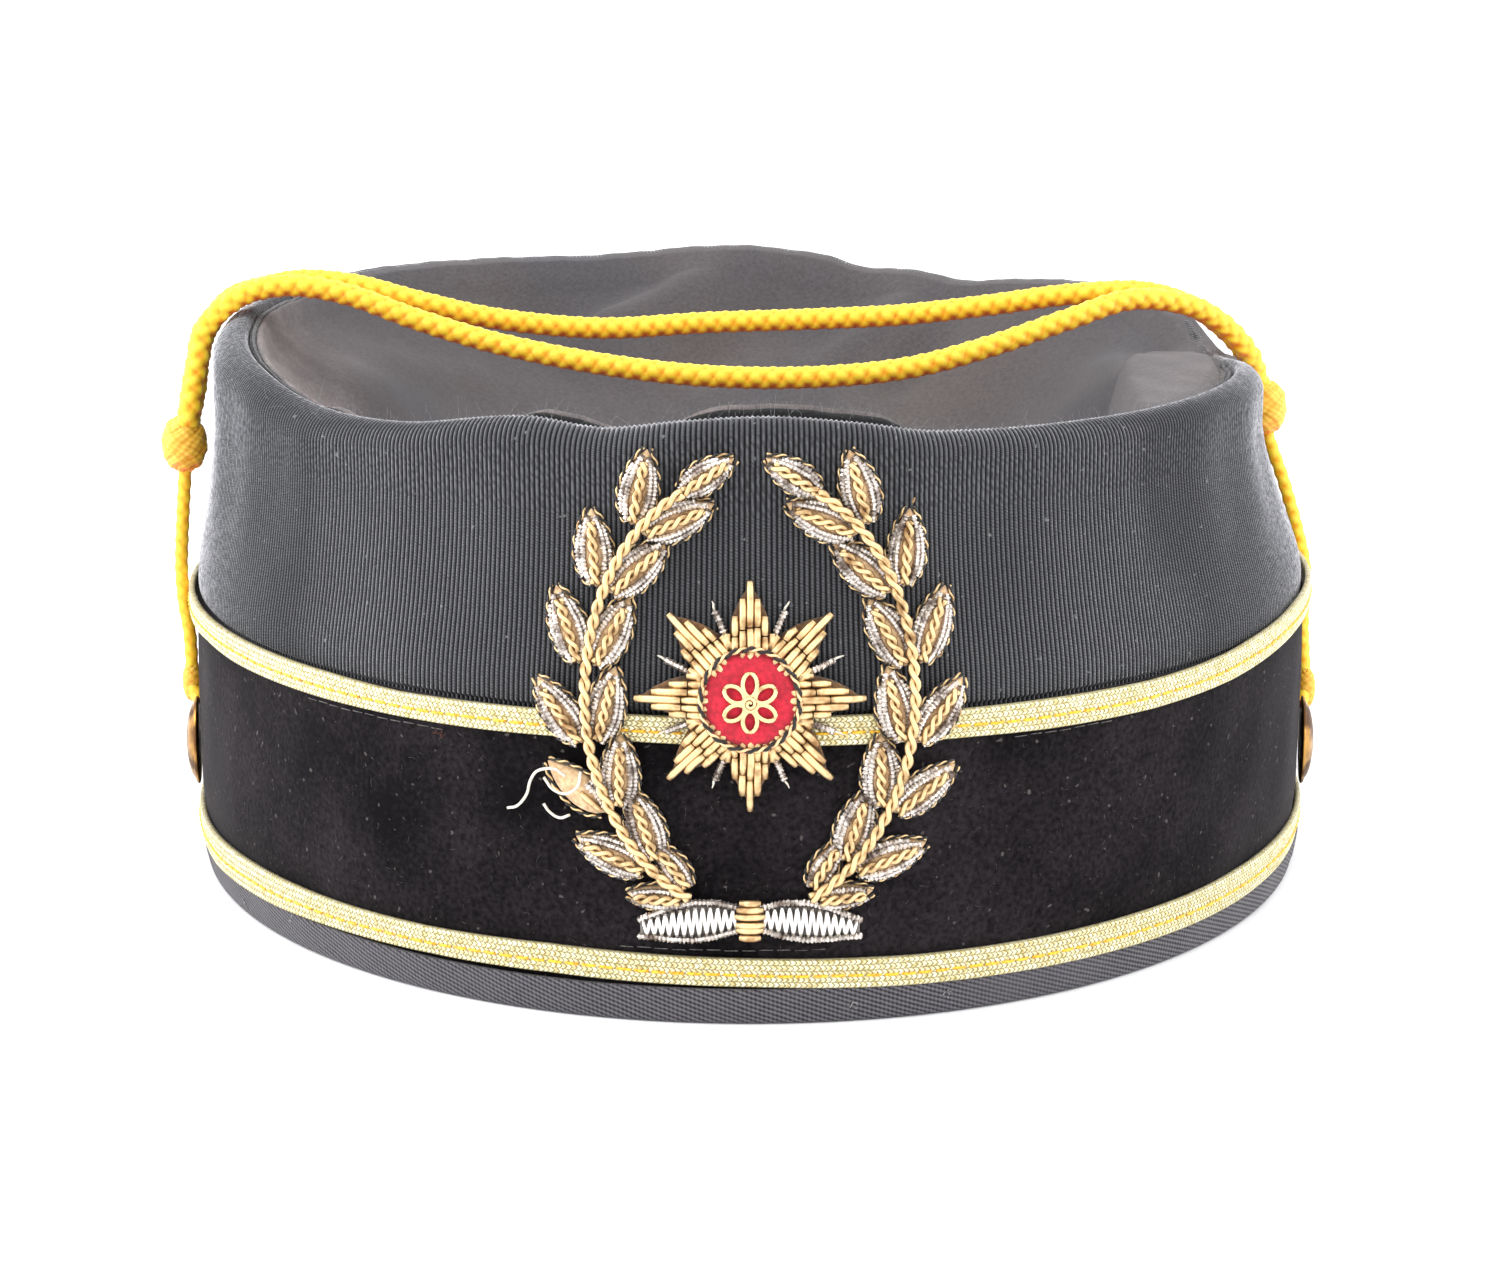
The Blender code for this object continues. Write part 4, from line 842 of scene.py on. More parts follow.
def make_top_panel(scene):
    colours = scene.cap_colours
    columns = 372
    angle = np.arange(columns) * 360.0 / columns
    inset, height = seam_line(angle)
    _, _, roll, turn = rim(angle)
    ahead = (angle + 20.0) % 360.0 - 20.0
    cover = smooth_step((ahead + 8.0) / 8.0) * smooth_step((166.0 - ahead) / 14.0)
    out, over = cover * (turn + 2 * GAP + 0.45 * roll), cover * (SEAM_DROP + 0.12)
    stand = sum(high * smooth_step((angle - first) / 6.5) * smooth_step((last - angle) / 6.5)
                for first, last, high in FRONT_LIPS)
    lip = [(0.0, -0.9, 0.0), (0.02, -0.1, 0.3), (0.14, 0.22, 0.8), (0.38, 0.36, 1.0), (0.64, 0.30, 1.0),
           (0.84, 0.10, 0.75), (0.96, -0.10, 0.62), (1.08, 0.04, 0.9), (1.32, 0.20, 1.35), (1.62, 0.18, 1.35),
           (2.0, -0.1, 0.7)]
    rows = []
    for inward, up, share in lip:
        plain = 1.0 - cover
        rows.append(oval(angle, inset - out + inward * (1.0 + cover), height + over + up * plain + share * stand
                         - 0.16 * cover * inward**2))
    shares = np.concatenate((np.linspace(0.962, 0.80, 14), np.linspace(0.785, 0.30, 34), (0.24, 0.17, 0.1, 0.04)))
    rows += [top_point(angle, share) for share in shares]
    upper = np.stack(rows)
    fine = (0.10 * np.sin(upper[..., 0] * 0.33 + 1.0) * np.sin(upper[..., 1] * 0.29)
            + 0.07 * np.sin(upper[..., 0] * 0.71 + upper[..., 1] * 0.37))
    fine[: len(lip)] = 0.06 * np.sin(np.radians(angle) * 41) + 0.05 * np.sin(np.radians(angle) * 97)
    upper[..., 2] += fine
    work = Work()
    first = work.grid(upper, girth_mm(columns), run_length(upper[:, 0]))
    # Painted shadow: on the plain stretches of the seam, the turned edge and the groove behind the first ridge take
    # the near-black finish 3, and the ridge between them takes finish 4
    for row, finish in enumerate((3, 3, 3, 4, 4, 3, 3)):
        for column in np.nonzero(cover < 0.5)[0]:
            work.finishes[row * columns + column] = finish
    work.fan(np.arange(columns) + first + (len(upper) - 1) * columns, upper[-1].mean(0),
             down=run_length(upper[:, 0])[-1])
    under = [top_point(angle, share, False) - (0.0, 0.0, PANEL)
             for share in (0.04, 0.2, 0.32, 0.42, 0.5, 0.58, 0.66, 0.74, 0.8, 0.84, 0.88, 0.91, 0.94)]
    under.append(oval(angle, inset + 1.2, height - PANEL - 0.4))
    under.append(oval(angle, inset, height - PANEL))
    lower = work.grid(np.stack(under), girth_mm(columns), np.arange(len(under)), 1)
    work.fan(np.arange(columns) + lower, under[0].mean(0), 1)
    edge = np.stack((np.arange(columns) + lower + (len(under) - 1) * columns, np.arange(columns) + first))
    faces = np.stack((edge[0], np.roll(edge[0], -1), np.roll(edge[1], -1), edge[1]), -1)
    work.add_faces(faces, np.zeros((columns, 4, 2)), 0, True)
    rng = np.random.default_rng(23)
    for first, last, count, lengths in ((0, columns, 200, (0.3, 1.3)), (150, 366, 260, (0.5, 1.6)),
                                        (150, 366, 2300, (0.2, 0.8))):
        picks, level = rng.integers(first, last, count), rng.integers(1, 10, count)
        hairs(work, upper[level, picks], np.broadcast_to(UP - (0, 0.3, 0), (count, 3)), rng, lengths, 0.014, 2)
    piece = work.finish("crown_panel", [plain_worsted(colours), plain_worsted(colours, "worsted_under"),
                                        spun_thread("panel_fibre", "9a989a", "5c5a5d", 0.9),
                                        spun_thread("rolled_edge_shadow", "1b1b1e", "070708", 0.95),
                                        spun_thread("rolled_ridge", "6a6b6f", "1e1e21", 0.95)])
    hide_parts("crown_top")


def wall_strip(angle, low, high, outer, thickness, rows):
    """Outer face, and the rest of the section, of a strip along the wall."""
    low, high = low + 0.0 * angle, high + 0.0 * angle
    front, back = np.linspace(low, high, rows), np.linspace(high, low, 5)
    return (oval(angle, inset_at(angle, front) - outer, front),
            oval(angle, inset_at(angle, back) - outer + thickness, back))


# How far each braid's lower and upper edges wander from level round the cap: angle, lower, upper
BRAID_WANDER = {
    "braid_upper": [(60.0, 0.0, 0.0), (150.0, 0.0, 0.0), (200.0, 0.3, 0.1), (204.0, 0.5, 0.1), (212.0, 0.2, 0.1),
                    (228.0, 0.1, -0.1), (237.0, 0.1, -0.5), (246.0, 0.15, -0.3), (256.0, 0.4, -0.1),
                    (276.0, 0.0, 0.0), (290.0, -0.15, -0.25), (297.0, -0.4, -0.3), (309.0, -0.5, -0.5),
                    (316.0, -0.25, -0.25), (321.0, 0.0, 0.1), (325.0, 0.4, 0.6), (332.0, 1.1, 1.15),
                    (338.0, 1.6, 1.75), (345.0, 1.8, 1.9), (370.0, 1.4, 1.4)],
    "braid_lower": [(60.0, 0.0, 0.0), (150.0, 0.0, 0.0), (198.0, -0.9, -0.9), (203.0, -1.3, -0.6),
                    (207.0, -1.0, -0.3), (214.0, -0.6, 0.05), (222.0, -0.3, 0.15), (230.0, 0.0, 0.15),
                    (240.0, 0.3, 0.25), (252.0, 0.5, 0.65), (270.0, 0.0, 0.1), (285.0, -0.6, -0.5),
                    (297.0, -0.8, -0.5), (316.0, -0.95, -0.3), (324.0, -0.85, 0.0), (332.0, -0.5, 0.1),
                    (345.0, -0.2, -0.1), (370.0, 0.0, 0.0)],
}


def braid_edges(node, angle, low):
    """Heights of a braid's lower and upper edges, and how far its lower edge stands out over the hem tape."""
    table = np.array(BRAID_WANDER[node])
    down, up = (np.interp(angle, table[:, 0], table[:, column], period=360.0) for column in (1, 2))
    over = 0.5 * smooth_step(-down / 0.5) if node == "braid_lower" else 0.0 * down
    return low + down, low + BRAID_WIDTH + up, over


def stand_out(points, how_far):
    points[..., :2] += unit(points[..., :2]) * how_far[..., None]


def make_velvet(scene):
    columns = 372
    angle = np.arange(columns) * 360.0 / columns
    front, back = wall_strip(angle, CLOTH_BOTTOM, VELVET_TOP, 0.0, VELVET, 25)
    soft = (0.12 * np.sin(np.radians(angle)[None] * 17 + front[..., 2] * 0.11)
            + 0.08 * np.sin(np.radians(angle)[None] * 31 - front[..., 2] * 0.23))
    front = front + grid_normals(front) * soft[..., None]
    rows = np.concatenate((front, back))
    work = Work()
    work.grid(rows, girth_mm(columns), np.concatenate((np.arange(len(rows)), [len(rows)])), ring=True)
    rng = np.random.default_rng(5)

    def on_velvet(turn, share, up):
        z = np.clip(10.5 + share * 27.5 + up, 10.0, 38.8)
        return oval(turn, inset_at(turn, z) - 0.14, z)

    lint(work, on_velvet, rng, 420, (0.4, 1.7), 0.018, 1)
    # A small reddish tangle caught under the upper braid, left of the emblem
    roots = oval(241.3 + rng.normal(0.0, 0.22, 16), inset_at(241.3, 37.7) - 0.1, 37.7 + rng.normal(0.0, 0.3, 16))
    hairs(work, roots, np.broadcast_to((-0.3, -0.6, 0.1), (16, 3)), rng, (0.4, 0.9), 0.03, 3)
    lint(work, on_velvet, rng, 1500, (0.2, 0.8), 0.012, 1)
    # Machine stitches just over the lower braid and just under the upper one
    for start, count, z in ((258.5, 12, 10.6), (225.0, 11, 38.2), (294.0, 7, 38.0)):
        for stitch in range(count):
            turn = start + (stitch * 2.5 + np.linspace(0.0, 1.9, 4)) * 360.0 / GIRTH
            work.tube(oval(turn, inset_at(turn, z) - 0.12, z + 0.06 * np.sin(stitch * 1.7)), 0.07, 5, UP, 2)
    piece = work.finish("velvet_sleeve", [cotton_velvet(scene.cap_colours),
                                          spun_thread("pale_lint", "6d6967", "3a3635", 0.9),
                                          spun_thread("grey_stitching", "6f6a6a", "3a3637", 0.9),
                                          spun_thread("reddish_fluff", "8a4b38", "4b241a", 0.9)])
    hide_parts("velvet_band")


def make_braids(scene):
    sizes = scene.cap_sizes
    lanes, stitches, samples = 5, sizes.braid_stitches, 4
    columns = stitches * samples
    angle = np.arange(columns) * 360.0 / columns
    material = [lurex_braid(scene.cap_colours), spun_thread("yellow_thread", "ffd428", "d08a0c", 0.45)]
    for name, node, low in (("braid_over_velvet", "braid_upper", BRAID_UPPER_BOTTOM),
                            ("braid_over_hem", "braid_lower", BRAID_LOWER_BOTTOM)):
        bottom, top, over = braid_edges(node, angle, low)
        front, back = wall_strip(angle, bottom, top, BRAID + GAP - 0.02, BRAID, lanes * 3 + 1)
        stand_out(front, over * np.linspace(1.0, 0.0, len(front))[:, None])
        stand_out(back, over * np.linspace(0.0, 1.0, len(back))[:, None])
        lane = np.linspace(0.0, lanes, lanes * 3 + 1)[:, None]
        off = np.abs(lane % 1.0 - 0.5)
        phase = np.abs((np.arange(columns) / samples + off * 1.1 + np.floor(lane) * 0.5) % 1.0 - 0.5)
        relief = (1.0 - (phase / 0.5) ** 2) * (0.35 + 0.65 * (1.0 - (off / 0.5) ** 2))
        relief[0] *= 0.2
        relief[-1] *= 0.2
        front = front + grid_normals(front) * (relief * sizes.braid_relief / MM)[..., None]
        work = Work()
        v = np.concatenate((np.linspace(0.0, lanes, lanes * 3 + 1), np.full(6, 0.5)))
        work.grid(np.concatenate((front, back)), np.arange(columns + 1) / samples, v, ring=True)
        rng = np.random.default_rng(31)
        step = 2.55
        for dash in range(int(GIRTH / step)):
            turn = (dash * step + np.linspace(0.15, 2.1 + rng.uniform(-0.1, 0.15), 5)) * 360.0 / GIRTH
            bottom, top, over = braid_edges(node, turn, low)
            z = bottom + 0.43 * (top - bottom) + 0.05 * math.sin(dash * 0.9)
            dip = np.array((0.0, 0.13, 0.17, 0.13, 0.0)) + 0.57 * over
            work.tube(oval(turn, inset_at(turn, z) - BRAID - GAP - 0.03 - dip, z), 0.2, 6, UP, 1)
        piece = work.finish(name, material)
        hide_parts(node)


def make_binding(scene):
    columns = 372
    angle = np.arange(columns) * 360.0 / columns
    outer, lining = BINDING + GAP, WALL_INSET + WALL + GAP
    section = [(-outer + 0.2, BINDING_HEIGHT)] + [(-outer, z) for z in (5.0, 4.4, 3.8, 3.2, 2.6, 2.0, 1.4, 0.9)]
    for arc in np.radians((20.0, 45.0, 70.0, 90.0)):
        section.append((-outer + BINDING_ROUND * (1 - math.cos(arc)), BINDING_ROUND * (1 - math.sin(arc))))
    section += [(share, 0.0) for share in (0.8, 2.2)]
    for arc in np.radians((90.0, 60.0, 30.0, 0.0)):
        section.append((lining + BINDING - BINDING_ROUND * (1 - math.cos(arc)), BINDING_ROUND * (1 - math.sin(arc))))
    section += [(lining + BINDING, z) for z in (2.5, 4.5, 6.5, BINDING_LINING_HEIGHT - 0.15)]
    section += [(lining + BINDING - 0.3, BINDING_LINING_HEIGHT), (lining, BINDING_LINING_HEIGHT - 0.1),
                (lining, 4.0), (lining, BINDING), (-GAP, BINDING), (-GAP, BINDING_HEIGHT - 0.1)]
    rows = np.stack([oval(angle, inset_at(angle, z) + offset, z) for offset, z in section])
    wave = 0.10 * np.sin(np.radians(angle) * 23 + 0.7) + 0.08 * np.sin(np.radians(angle) * 47)
    rows[1:8, :, :2] += (unit(rows[1:8, :, :2]) * wave[None, :, None])
    run = run_length(np.vstack((rows[:, 0], rows[:1, 0])))
    work = Work()
    work.grid(rows, girth_mm(columns), run, ring=True)
    rng = np.random.default_rng(77)
    spots = [(210.8, 1.7), (221.0, 4.3), (238.5, 3.0), (287.6, 2.8), (279.0, 2.6)]
    for turn, z in spots:
        for _ in range(5):
            at = turn + rng.uniform(-0.35, 0.35) + np.linspace(0.0, rng.uniform(0.1, 0.35), 4)
            up = z + rng.uniform(-0.6, 0.6) + np.linspace(0.0, rng.uniform(-0.5, 0.5), 4)
            work.tube(oval(at, inset_at(at, up) - outer - 0.05, up), 0.06, 4, UP + 0.1, 1)
    piece = work.finish("hem_tape", [cotton_twill(scene.cap_colours), spun_thread("tape_lint", "a5a3a0", "6d6b69", 0.9)])
    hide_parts("hem_binding")


def plait(turns, run, strands):
    """Height of a plait's face, 0 to 1: strands cross over and under; turns is the share of a full turn and
    run the distance along in stitches."""
    a, b = turns * strands + run, turns * strands - run
    near_a, near_b = np.round(a), np.round(b)
    over_a = np.sqrt(np.clip(1.0 - (1.9 * (a - near_a)) ** 2, 0.0, 1.0)) * (1.0 + 0.42 * np.cos(np.pi * (b - near_a)))
    over_b = np.sqrt(np.clip(1.0 - (1.9 * (b - near_b)) ** 2, 0.0, 1.0)) * (1.0 - 0.42 * np.cos(np.pi * (a - near_b)))
    return np.maximum(over_a, over_b) / 1.42


def plaited_tube(work, path, radius, pitch, strands, sides, depth):
    """A plaited cord along a path, its height over the grooves kept as a cloth coordinate."""
    run = run_length(path)
    share = np.arange(sides) / sides
    high = plait(share[None], run[:, None] / pitch, strands)
    radii = radius * (1.0 - depth + depth * high)
    start = len(work.faces)
    up = carried(path, (0.3, 1.0, 0.2))
    work.tube(path, radii, sides, up)
    # The groove coordinate goes on the corners of the faces just made
    faces = np.array(work.faces[start:start + (len(path) - 1) * sides])
    base = faces.min()
    values = high.ravel()[faces - base]
    corners = work.corners[-3].reshape(-1, 4, 2)
    corners[..., 1] = values


def make_cords(scene):
    sizes = scene.cap_sizes
    # The last colour given to each cord material is its painted crest highlight
    material = rayon_cord("rayon_cord", scene.cap_colours.cord, "ffd93a")
    # The knots use a darker, duller yarn colour
    knot_rayon = rayon_cord("darker_knot_rayon", linear("e6aa24"), "f4c44c")
    for name, (centre, radius, half) in KNOTS.items():
        sides, rows = 96, 72
        lat = np.linspace(-0.93, 0.93, rows) * math.pi / 2
        turns = np.arange(sides) / sides
        flat = np.cos(lat)[:, None] ** 0.75 * np.ones(sides)
        lift = np.sin(lat)[:, None] * np.ones(sides)
        lead = turns[None] + 0.02 * np.sin(lat[:, None] * 5.0)
        coarse = plait(lead, (lat[:, None] * half) / (radius * 0.95) + 0.25, 5)
        fine = plait(lead, (lat[:, None] * half) / (radius * 0.34), 14)
        high = coarse * 0.35 + fine * 0.65
        swell = 0.84 + 0.12 * coarse + 0.10 * fine
        points = np.stack((radius * flat * swell * np.cos(2 * np.pi * turns), radius * flat * swell
                           * np.sin(2 * np.pi * turns), half * lift * (0.86 + 0.16 * coarse)), -1) + centre
        work = Work()
        start = work.grid(points, np.arange(sides + 1) / sides, np.arange(rows))
        faces = np.array(work.faces)
        work.corners[-1].reshape(-1, 4, 2)[..., 1] = high.ravel()[faces]
        work.fan(np.arange(sides) + start, points[0].mean(0))
        work.fan(np.arange(sides) + start + (rows - 1) * sides, points[-1].mean(0))
        piece = work.finish(name.replace("knot", "turban"), [knot_rayon])
        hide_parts(name)
    strand, leader = sizes.strand_diameter / MM, sizes.leader_diameter / MM
    cords = [
        ("plait_back", "cord_back", STRAND_BACK, strand, sizes.strand_pitch, 3, 0.40, 24, "slide_knot_left", "object"),
        ("plait_front", "cord_front", STRAND_FRONT, strand, sizes.strand_pitch, 3, 0.40, 24, "slide_knot_right",
         "object"),
        ("thin_plait_left", "leader_left", LEADER_LEFT, leader, sizes.leader_pitch, 2, 0.30, 16, "loop_knot_left",
         "knot"),
        ("thin_plait_right", "leader_right", LEADER_RIGHT, leader, sizes.leader_pitch, 2, 0.30, 16,
         "loop_knot_right", "knot"),
    ]
    for name, node, route, diameter, pitch, strands, depth, sides, knot, end in cords:
        if strands == 3:
            route = [KNOTS["slide_knot_left"][0], *route, KNOTS["slide_knot_right"][0]]
        path = smooth_route(route, 0.25)
        work = Work()
        plaited_tube(work, path, diameter / 2 * 1.06, pitch / MM, strands, sides, depth)
        piece = work.finish(name, [material])
        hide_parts(node)
        points = [tuple((point + SHIFT) * MM) for point in path]


def make_buttons(scene):
    material = antique_brass()
    profile = [(0.0, 0.0), (0.55, 0.0), (0.96, 0.05), (1.0, 0.12), (1.0, 0.24), (0.975, 0.34), (0.93, 0.37),
               (0.90, 0.33), (0.88, 0.36), (0.84, 0.48), (0.76, 0.62), (0.66, 0.74), (0.54, 0.84), (0.40, 0.92),
               (0.26, 0.975), (0.12, 0.995)]
    sides, radius, dome = 72, 7.0, 2.1
    for name, node, side in (("button_left", "side_button_left", -1), ("button_right", "side_button_right", 1)):
        angle = math.degrees(math.asin(-12.0 / HALF_DEPTH))
        angle = angle if side > 0 else 180.0 - angle
        height = 9.5 + GAP + radius
        turn = math.radians(angle)
        square = math.atan2(HALF_WIDTH * math.sin(turn), HALF_DEPTH * math.cos(turn))
        centre = oval(angle, inset_at(angle, height) - 0.45, height)
        out = np.array((math.cos(square), math.sin(square), 0.0))
        across = np.array((-math.sin(square), math.cos(square), 0.0))
        turns = 2 * np.pi * np.arange(sides) / sides
        rows = []
        for index, (wide, lift) in enumerate(profile[1:]):
            rope = (0.1 if 3 <= index <= 5 else 0.0) * (np.sin(turns * 36) - 1.0)
            reach = radius * wide + rope
            rows.append(centre + np.outer(dome * lift + rope * 0.7, out) + np.outer(np.cos(turns) * reach, across)
                        + np.outer(np.sin(turns) * reach, UP))
        rows = np.stack(rows)
        work = Work()
        start = work.grid(rows, np.arange(sides + 1) / sides, np.arange(len(rows)))
        work.fan(np.arange(sides) + start, rows[0].mean(0))
        work.fan(np.arange(sides) + start + (len(rows) - 1) * sides, rows[-1].mean(0) + out * 0.02)
        piece = work.finish(name, [material])
        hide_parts(node)


class Needle:
    """Embroidery laid on the cap's front: strokes in sideways distance, height and lift, as wire or thread."""

    def __init__(self, seed):
        self.work = Work()
        self.rng = np.random.default_rng(seed)

    def place(self, line):
        line = np.asarray(line, float)
        return on_front(line[:, 0], line[:, 1], line[:, 2])

    def outward(self, line):
        line = np.asarray(line, float)
        return unit(on_front(line[:, 0], line[:, 1], line[:, 2] + 0.5) - on_front(line[:, 0], line[:, 1], line[:, 2]))

    def chip(self, line, radius, finish, sides=8, step=0.9):
        """A short length of smooth wire purl."""
        line = even_path(np.asarray(line, float), step)
        path, up = self.place(line), self.outward(line)
        radii = np.full(len(path), radius)
        radii[0] = radii[-1] = radius * 0.82
        self.work.tube(path, radii, sides, up, finish)

    def check(self, line, radius, finish, sides=7, step=0.27):
        """A length of faceted check purl: angular turns that stand out and draw in by turns."""
        line = even_path(np.asarray(line, float), step)
        path, up = self.place(line), self.outward(line)
        count = len(path)
        swing = np.where(np.arange(count) % 2, 0.72, 1.12)[:, None]
        radii = radius * swing * self.rng.uniform(0.86, 1.12, (count, sides))
        tilt = self.rng.normal(0.0, 0.05 * radius, path.shape)
        self.work.tube(path + tilt, radii, sides, up, finish, smooth=False)

    def twist(self, line, radius, spread, lift, pitch, finishes, sides=6, step=0.30, start=0.0):
        """Strands wound round each other along a line, one finish each."""
        line = even_path(np.asarray(line, float), step)
        path, up = self.place(line), self.outward(line)
        side = unit(np.cross(unit(np.gradient(path, axis=0)), up))
        run = run_length(path)
        for index, finish in enumerate(finishes):
            phase = 2 * np.pi * (run / pitch + index / len(finishes)) + start
            strand = path + side * (spread * np.cos(phase))[:, None] + up * (lift * np.sin(phase))[:, None]
            self.work.tube(strand, radius, sides, up, finish)

    def pad(self, outline, top, base, finish, rings=(1.0, 0.93, 0.75, 0.5, 0.25)):
        """A padded shape: an outline round a middle, raised to its top over a base."""
        outline = np.asarray(outline, float)
        middle = outline.mean(0)
        rows = [np.column_stack((outline, np.full(len(outline), base)))]
        for ring in rings:
            lift = base + (top - base) * (1.0 - ring**3) ** 0.5 + 0.15 * (ring == 1.0)
            rows.append(np.column_stack((middle + (outline - middle) * ring, np.full(len(outline), lift))))
        points = np.stack([self.place(row) for row in rows])
        start = self.work.grid(points, np.arange(len(outline) + 1), np.arange(len(rows)), finish)
        ring = np.arange(len(outline)) + start
        self.work.fan(ring, self.place([(*middle, base)])[0], finish)
        self.work.fan(ring + (len(rows) - 1) * len(outline), self.place([(*middle, top)])[0], finish)


def leaf_frame(side, share, out, lean):
    """Base point, heading and sideways direction of a leaf at a share of a branch."""
    middle_x, middle_z = (EMBLEM_WIDTH - BRANCH_WIDTH) / 2, EMBLEM_HALF_HEIGHT - BRANCH_WIDTH / 2
    turn = math.radians(BRANCH_START + (BRANCH_END - BRANCH_START) * share)
    base = np.array((middle_x * math.cos(turn), EMBLEM_MIDDLE + middle_z * math.sin(turn)))
    ahead = np.array((-middle_x * math.sin(turn), middle_z * math.cos(turn)))
    ahead /= np.linalg.norm(ahead)
    away = np.array((ahead[1], -ahead[0]))
    heading = ahead * math.cos(lean) + away * out * math.sin(lean)
    across = np.array((heading[1], -heading[0]))
    flip = np.array((side, 1.0))
    return base * flip, heading * flip, across * flip, away * flip


def leaf_half_width(share, widest):
    return widest * np.sin(np.pi * np.clip(share, 0.0, 1.0) ** 0.82) ** 0.75


def make_wreath(scene):
    colours = scene.cap_colours
    purl = scene.cap_sizes.purl / MM
    finishes = [wool_felt("backing_felt", linear("e3c49a"), linear("b58f66")),
                wire_purl("silver_check", colours.silver, "5f4a3c", (0.50, 0.68), 0.3, 0.28),
                wire_purl("gilt_purl", colours.gilt, "7d5226", (0.52, 0.72), 0.16, 0.30),
                spun_thread("black_silk", "26221f", "0d0b0a", 0.5),
                spun_thread("white_thread", "f3eee4", "c9bfae", 0.7)]
    felt, silver, gilt, black, white = range(5)
    for name, node, side, seed in (("wreath_left", "emblem_branch_left", -1, 3),
                                   ("wreath_right", "emblem_branch_right", 1, 4)):
        needle = Needle(seed)
        leaves = [(index / BRANCH_LEAVES, out, 10.4, 2.3) for index in range(1, BRANCH_LEAVES) for out in (1, -1)]
        leaves += [(0.30 / BRANCH_LEAVES, 1, 7.6, 1.5), (0.30 / BRANCH_LEAVES, -1, 7.6, 1.5), (0.985, 0, 8.6, 1.8)]
        for share, out, far, widest in leaves:
            lean = math.radians(25.0 + needle.rng.uniform(-3.0, 3.0)) * abs(out)
            base, heading, across, away = leaf_frame(side, share - 0.066, out or 1, lean)
            base = base + away * out * 0.9
            along = np.linspace(0.0, 1.0, 12)
            wide = leaf_half_width(along, widest)
            one = base + heading * (along * far)[:, None] + across * wide[:, None]
            two = base + heading * (along * far)[:, None] - across * wide[:, None]
            bare = side < 0 and out == 1 and 0.2 < share < 0.35
            outline = np.vstack((one, two[-2:0:-1]))
            needle.pad(outline, 1.25, -0.35, felt)
            for edge in (-1, 1):
                for lane, reach in ((0.62, 0.93), (0.92, 0.80)) if widest > 1.7 else ((0.72, 0.9),):
                    if bare and edge == -side:
                        continue
                    run = np.linspace(0.06 if lane < 0.9 else 0.16, reach, 14)
                    line = base + heading * (run * far)[:, None] + across * (
                        edge * lane * leaf_half_width(run, widest))[:, None]
                    if bare and edge == side:
                        line = line[: len(line) // 2]
                    lift = 0.75 if lane > 0.9 else 1.25
                    needle.check(np.column_stack((line, np.full(len(line), lift))), 0.46, silver)
                edge_run = np.linspace(0.02, 1.02, 16)
                line = base + heading * (edge_run * far)[:, None] + across * (
                    edge * (leaf_half_width(np.clip(edge_run, 0, 0.995), widest) + 0.42))[:, None]
                needle.twist(np.column_stack((line, np.full(len(line), 0.1))), 0.17, 0.16, 0.12, 2.0,
                             (gilt, black), start=share * 9.0)
            if not bare:
                run = np.linspace(0.08, 0.86, 10)
                line = base + heading * (run * far)[:, None]
                needle.twist(np.column_stack((line, np.full(len(line), 1.8))), 0.36, 0.42, 0.30, 3.4, (gilt, gilt))
            else:
                run = np.linspace(0.1, 0.45, 5)
                line = base + heading * (run * far)[:, None]
                needle.chip(np.column_stack((line, np.full(len(line), 1.45))), purl * 0.8, gilt)
        stem = np.array([leaf_frame(side, share, 1, 0.0)[0] for share in np.linspace(-0.03, 0.93, 60)])
        needle.twist(np.column_stack((stem, np.full(len(stem), 2.0))), 0.42, 0.42, 0.30, 4.2, (gilt, gilt), 8)
        if side < 0:
            loops = [
                [(-24.5, 34.6, 1.6), (-26.0, 35.6, 1.9), (-28.2, 35.0, 1.6), (-29.3, 33.2, 0.9), (-29.9, 31.0, 0.4),
                 (-31.2, 29.2, 0.3), (-32.6, 28.7, 0.3)],
                [(-27.4, 34.0, 1.2), (-26.2, 32.6, 1.8), (-24.4, 32.2, 2.1), (-22.8, 33.4, 2.0), (-22.4, 35.4, 1.6)],
                [(-24.0, 29.0, 1.4), (-25.4, 28.4, 1.2), (-26.8, 28.9, 0.5), (-27.6, 29.9, 0.3)],
            ]
            for loop in loops:
                line = smooth_route(loop, 0.4)
                needle.work.tube(needle.place(line), 0.2, 6, needle.outward(line), white)
        piece = needle.work.finish(name, finishes)
        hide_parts(node)


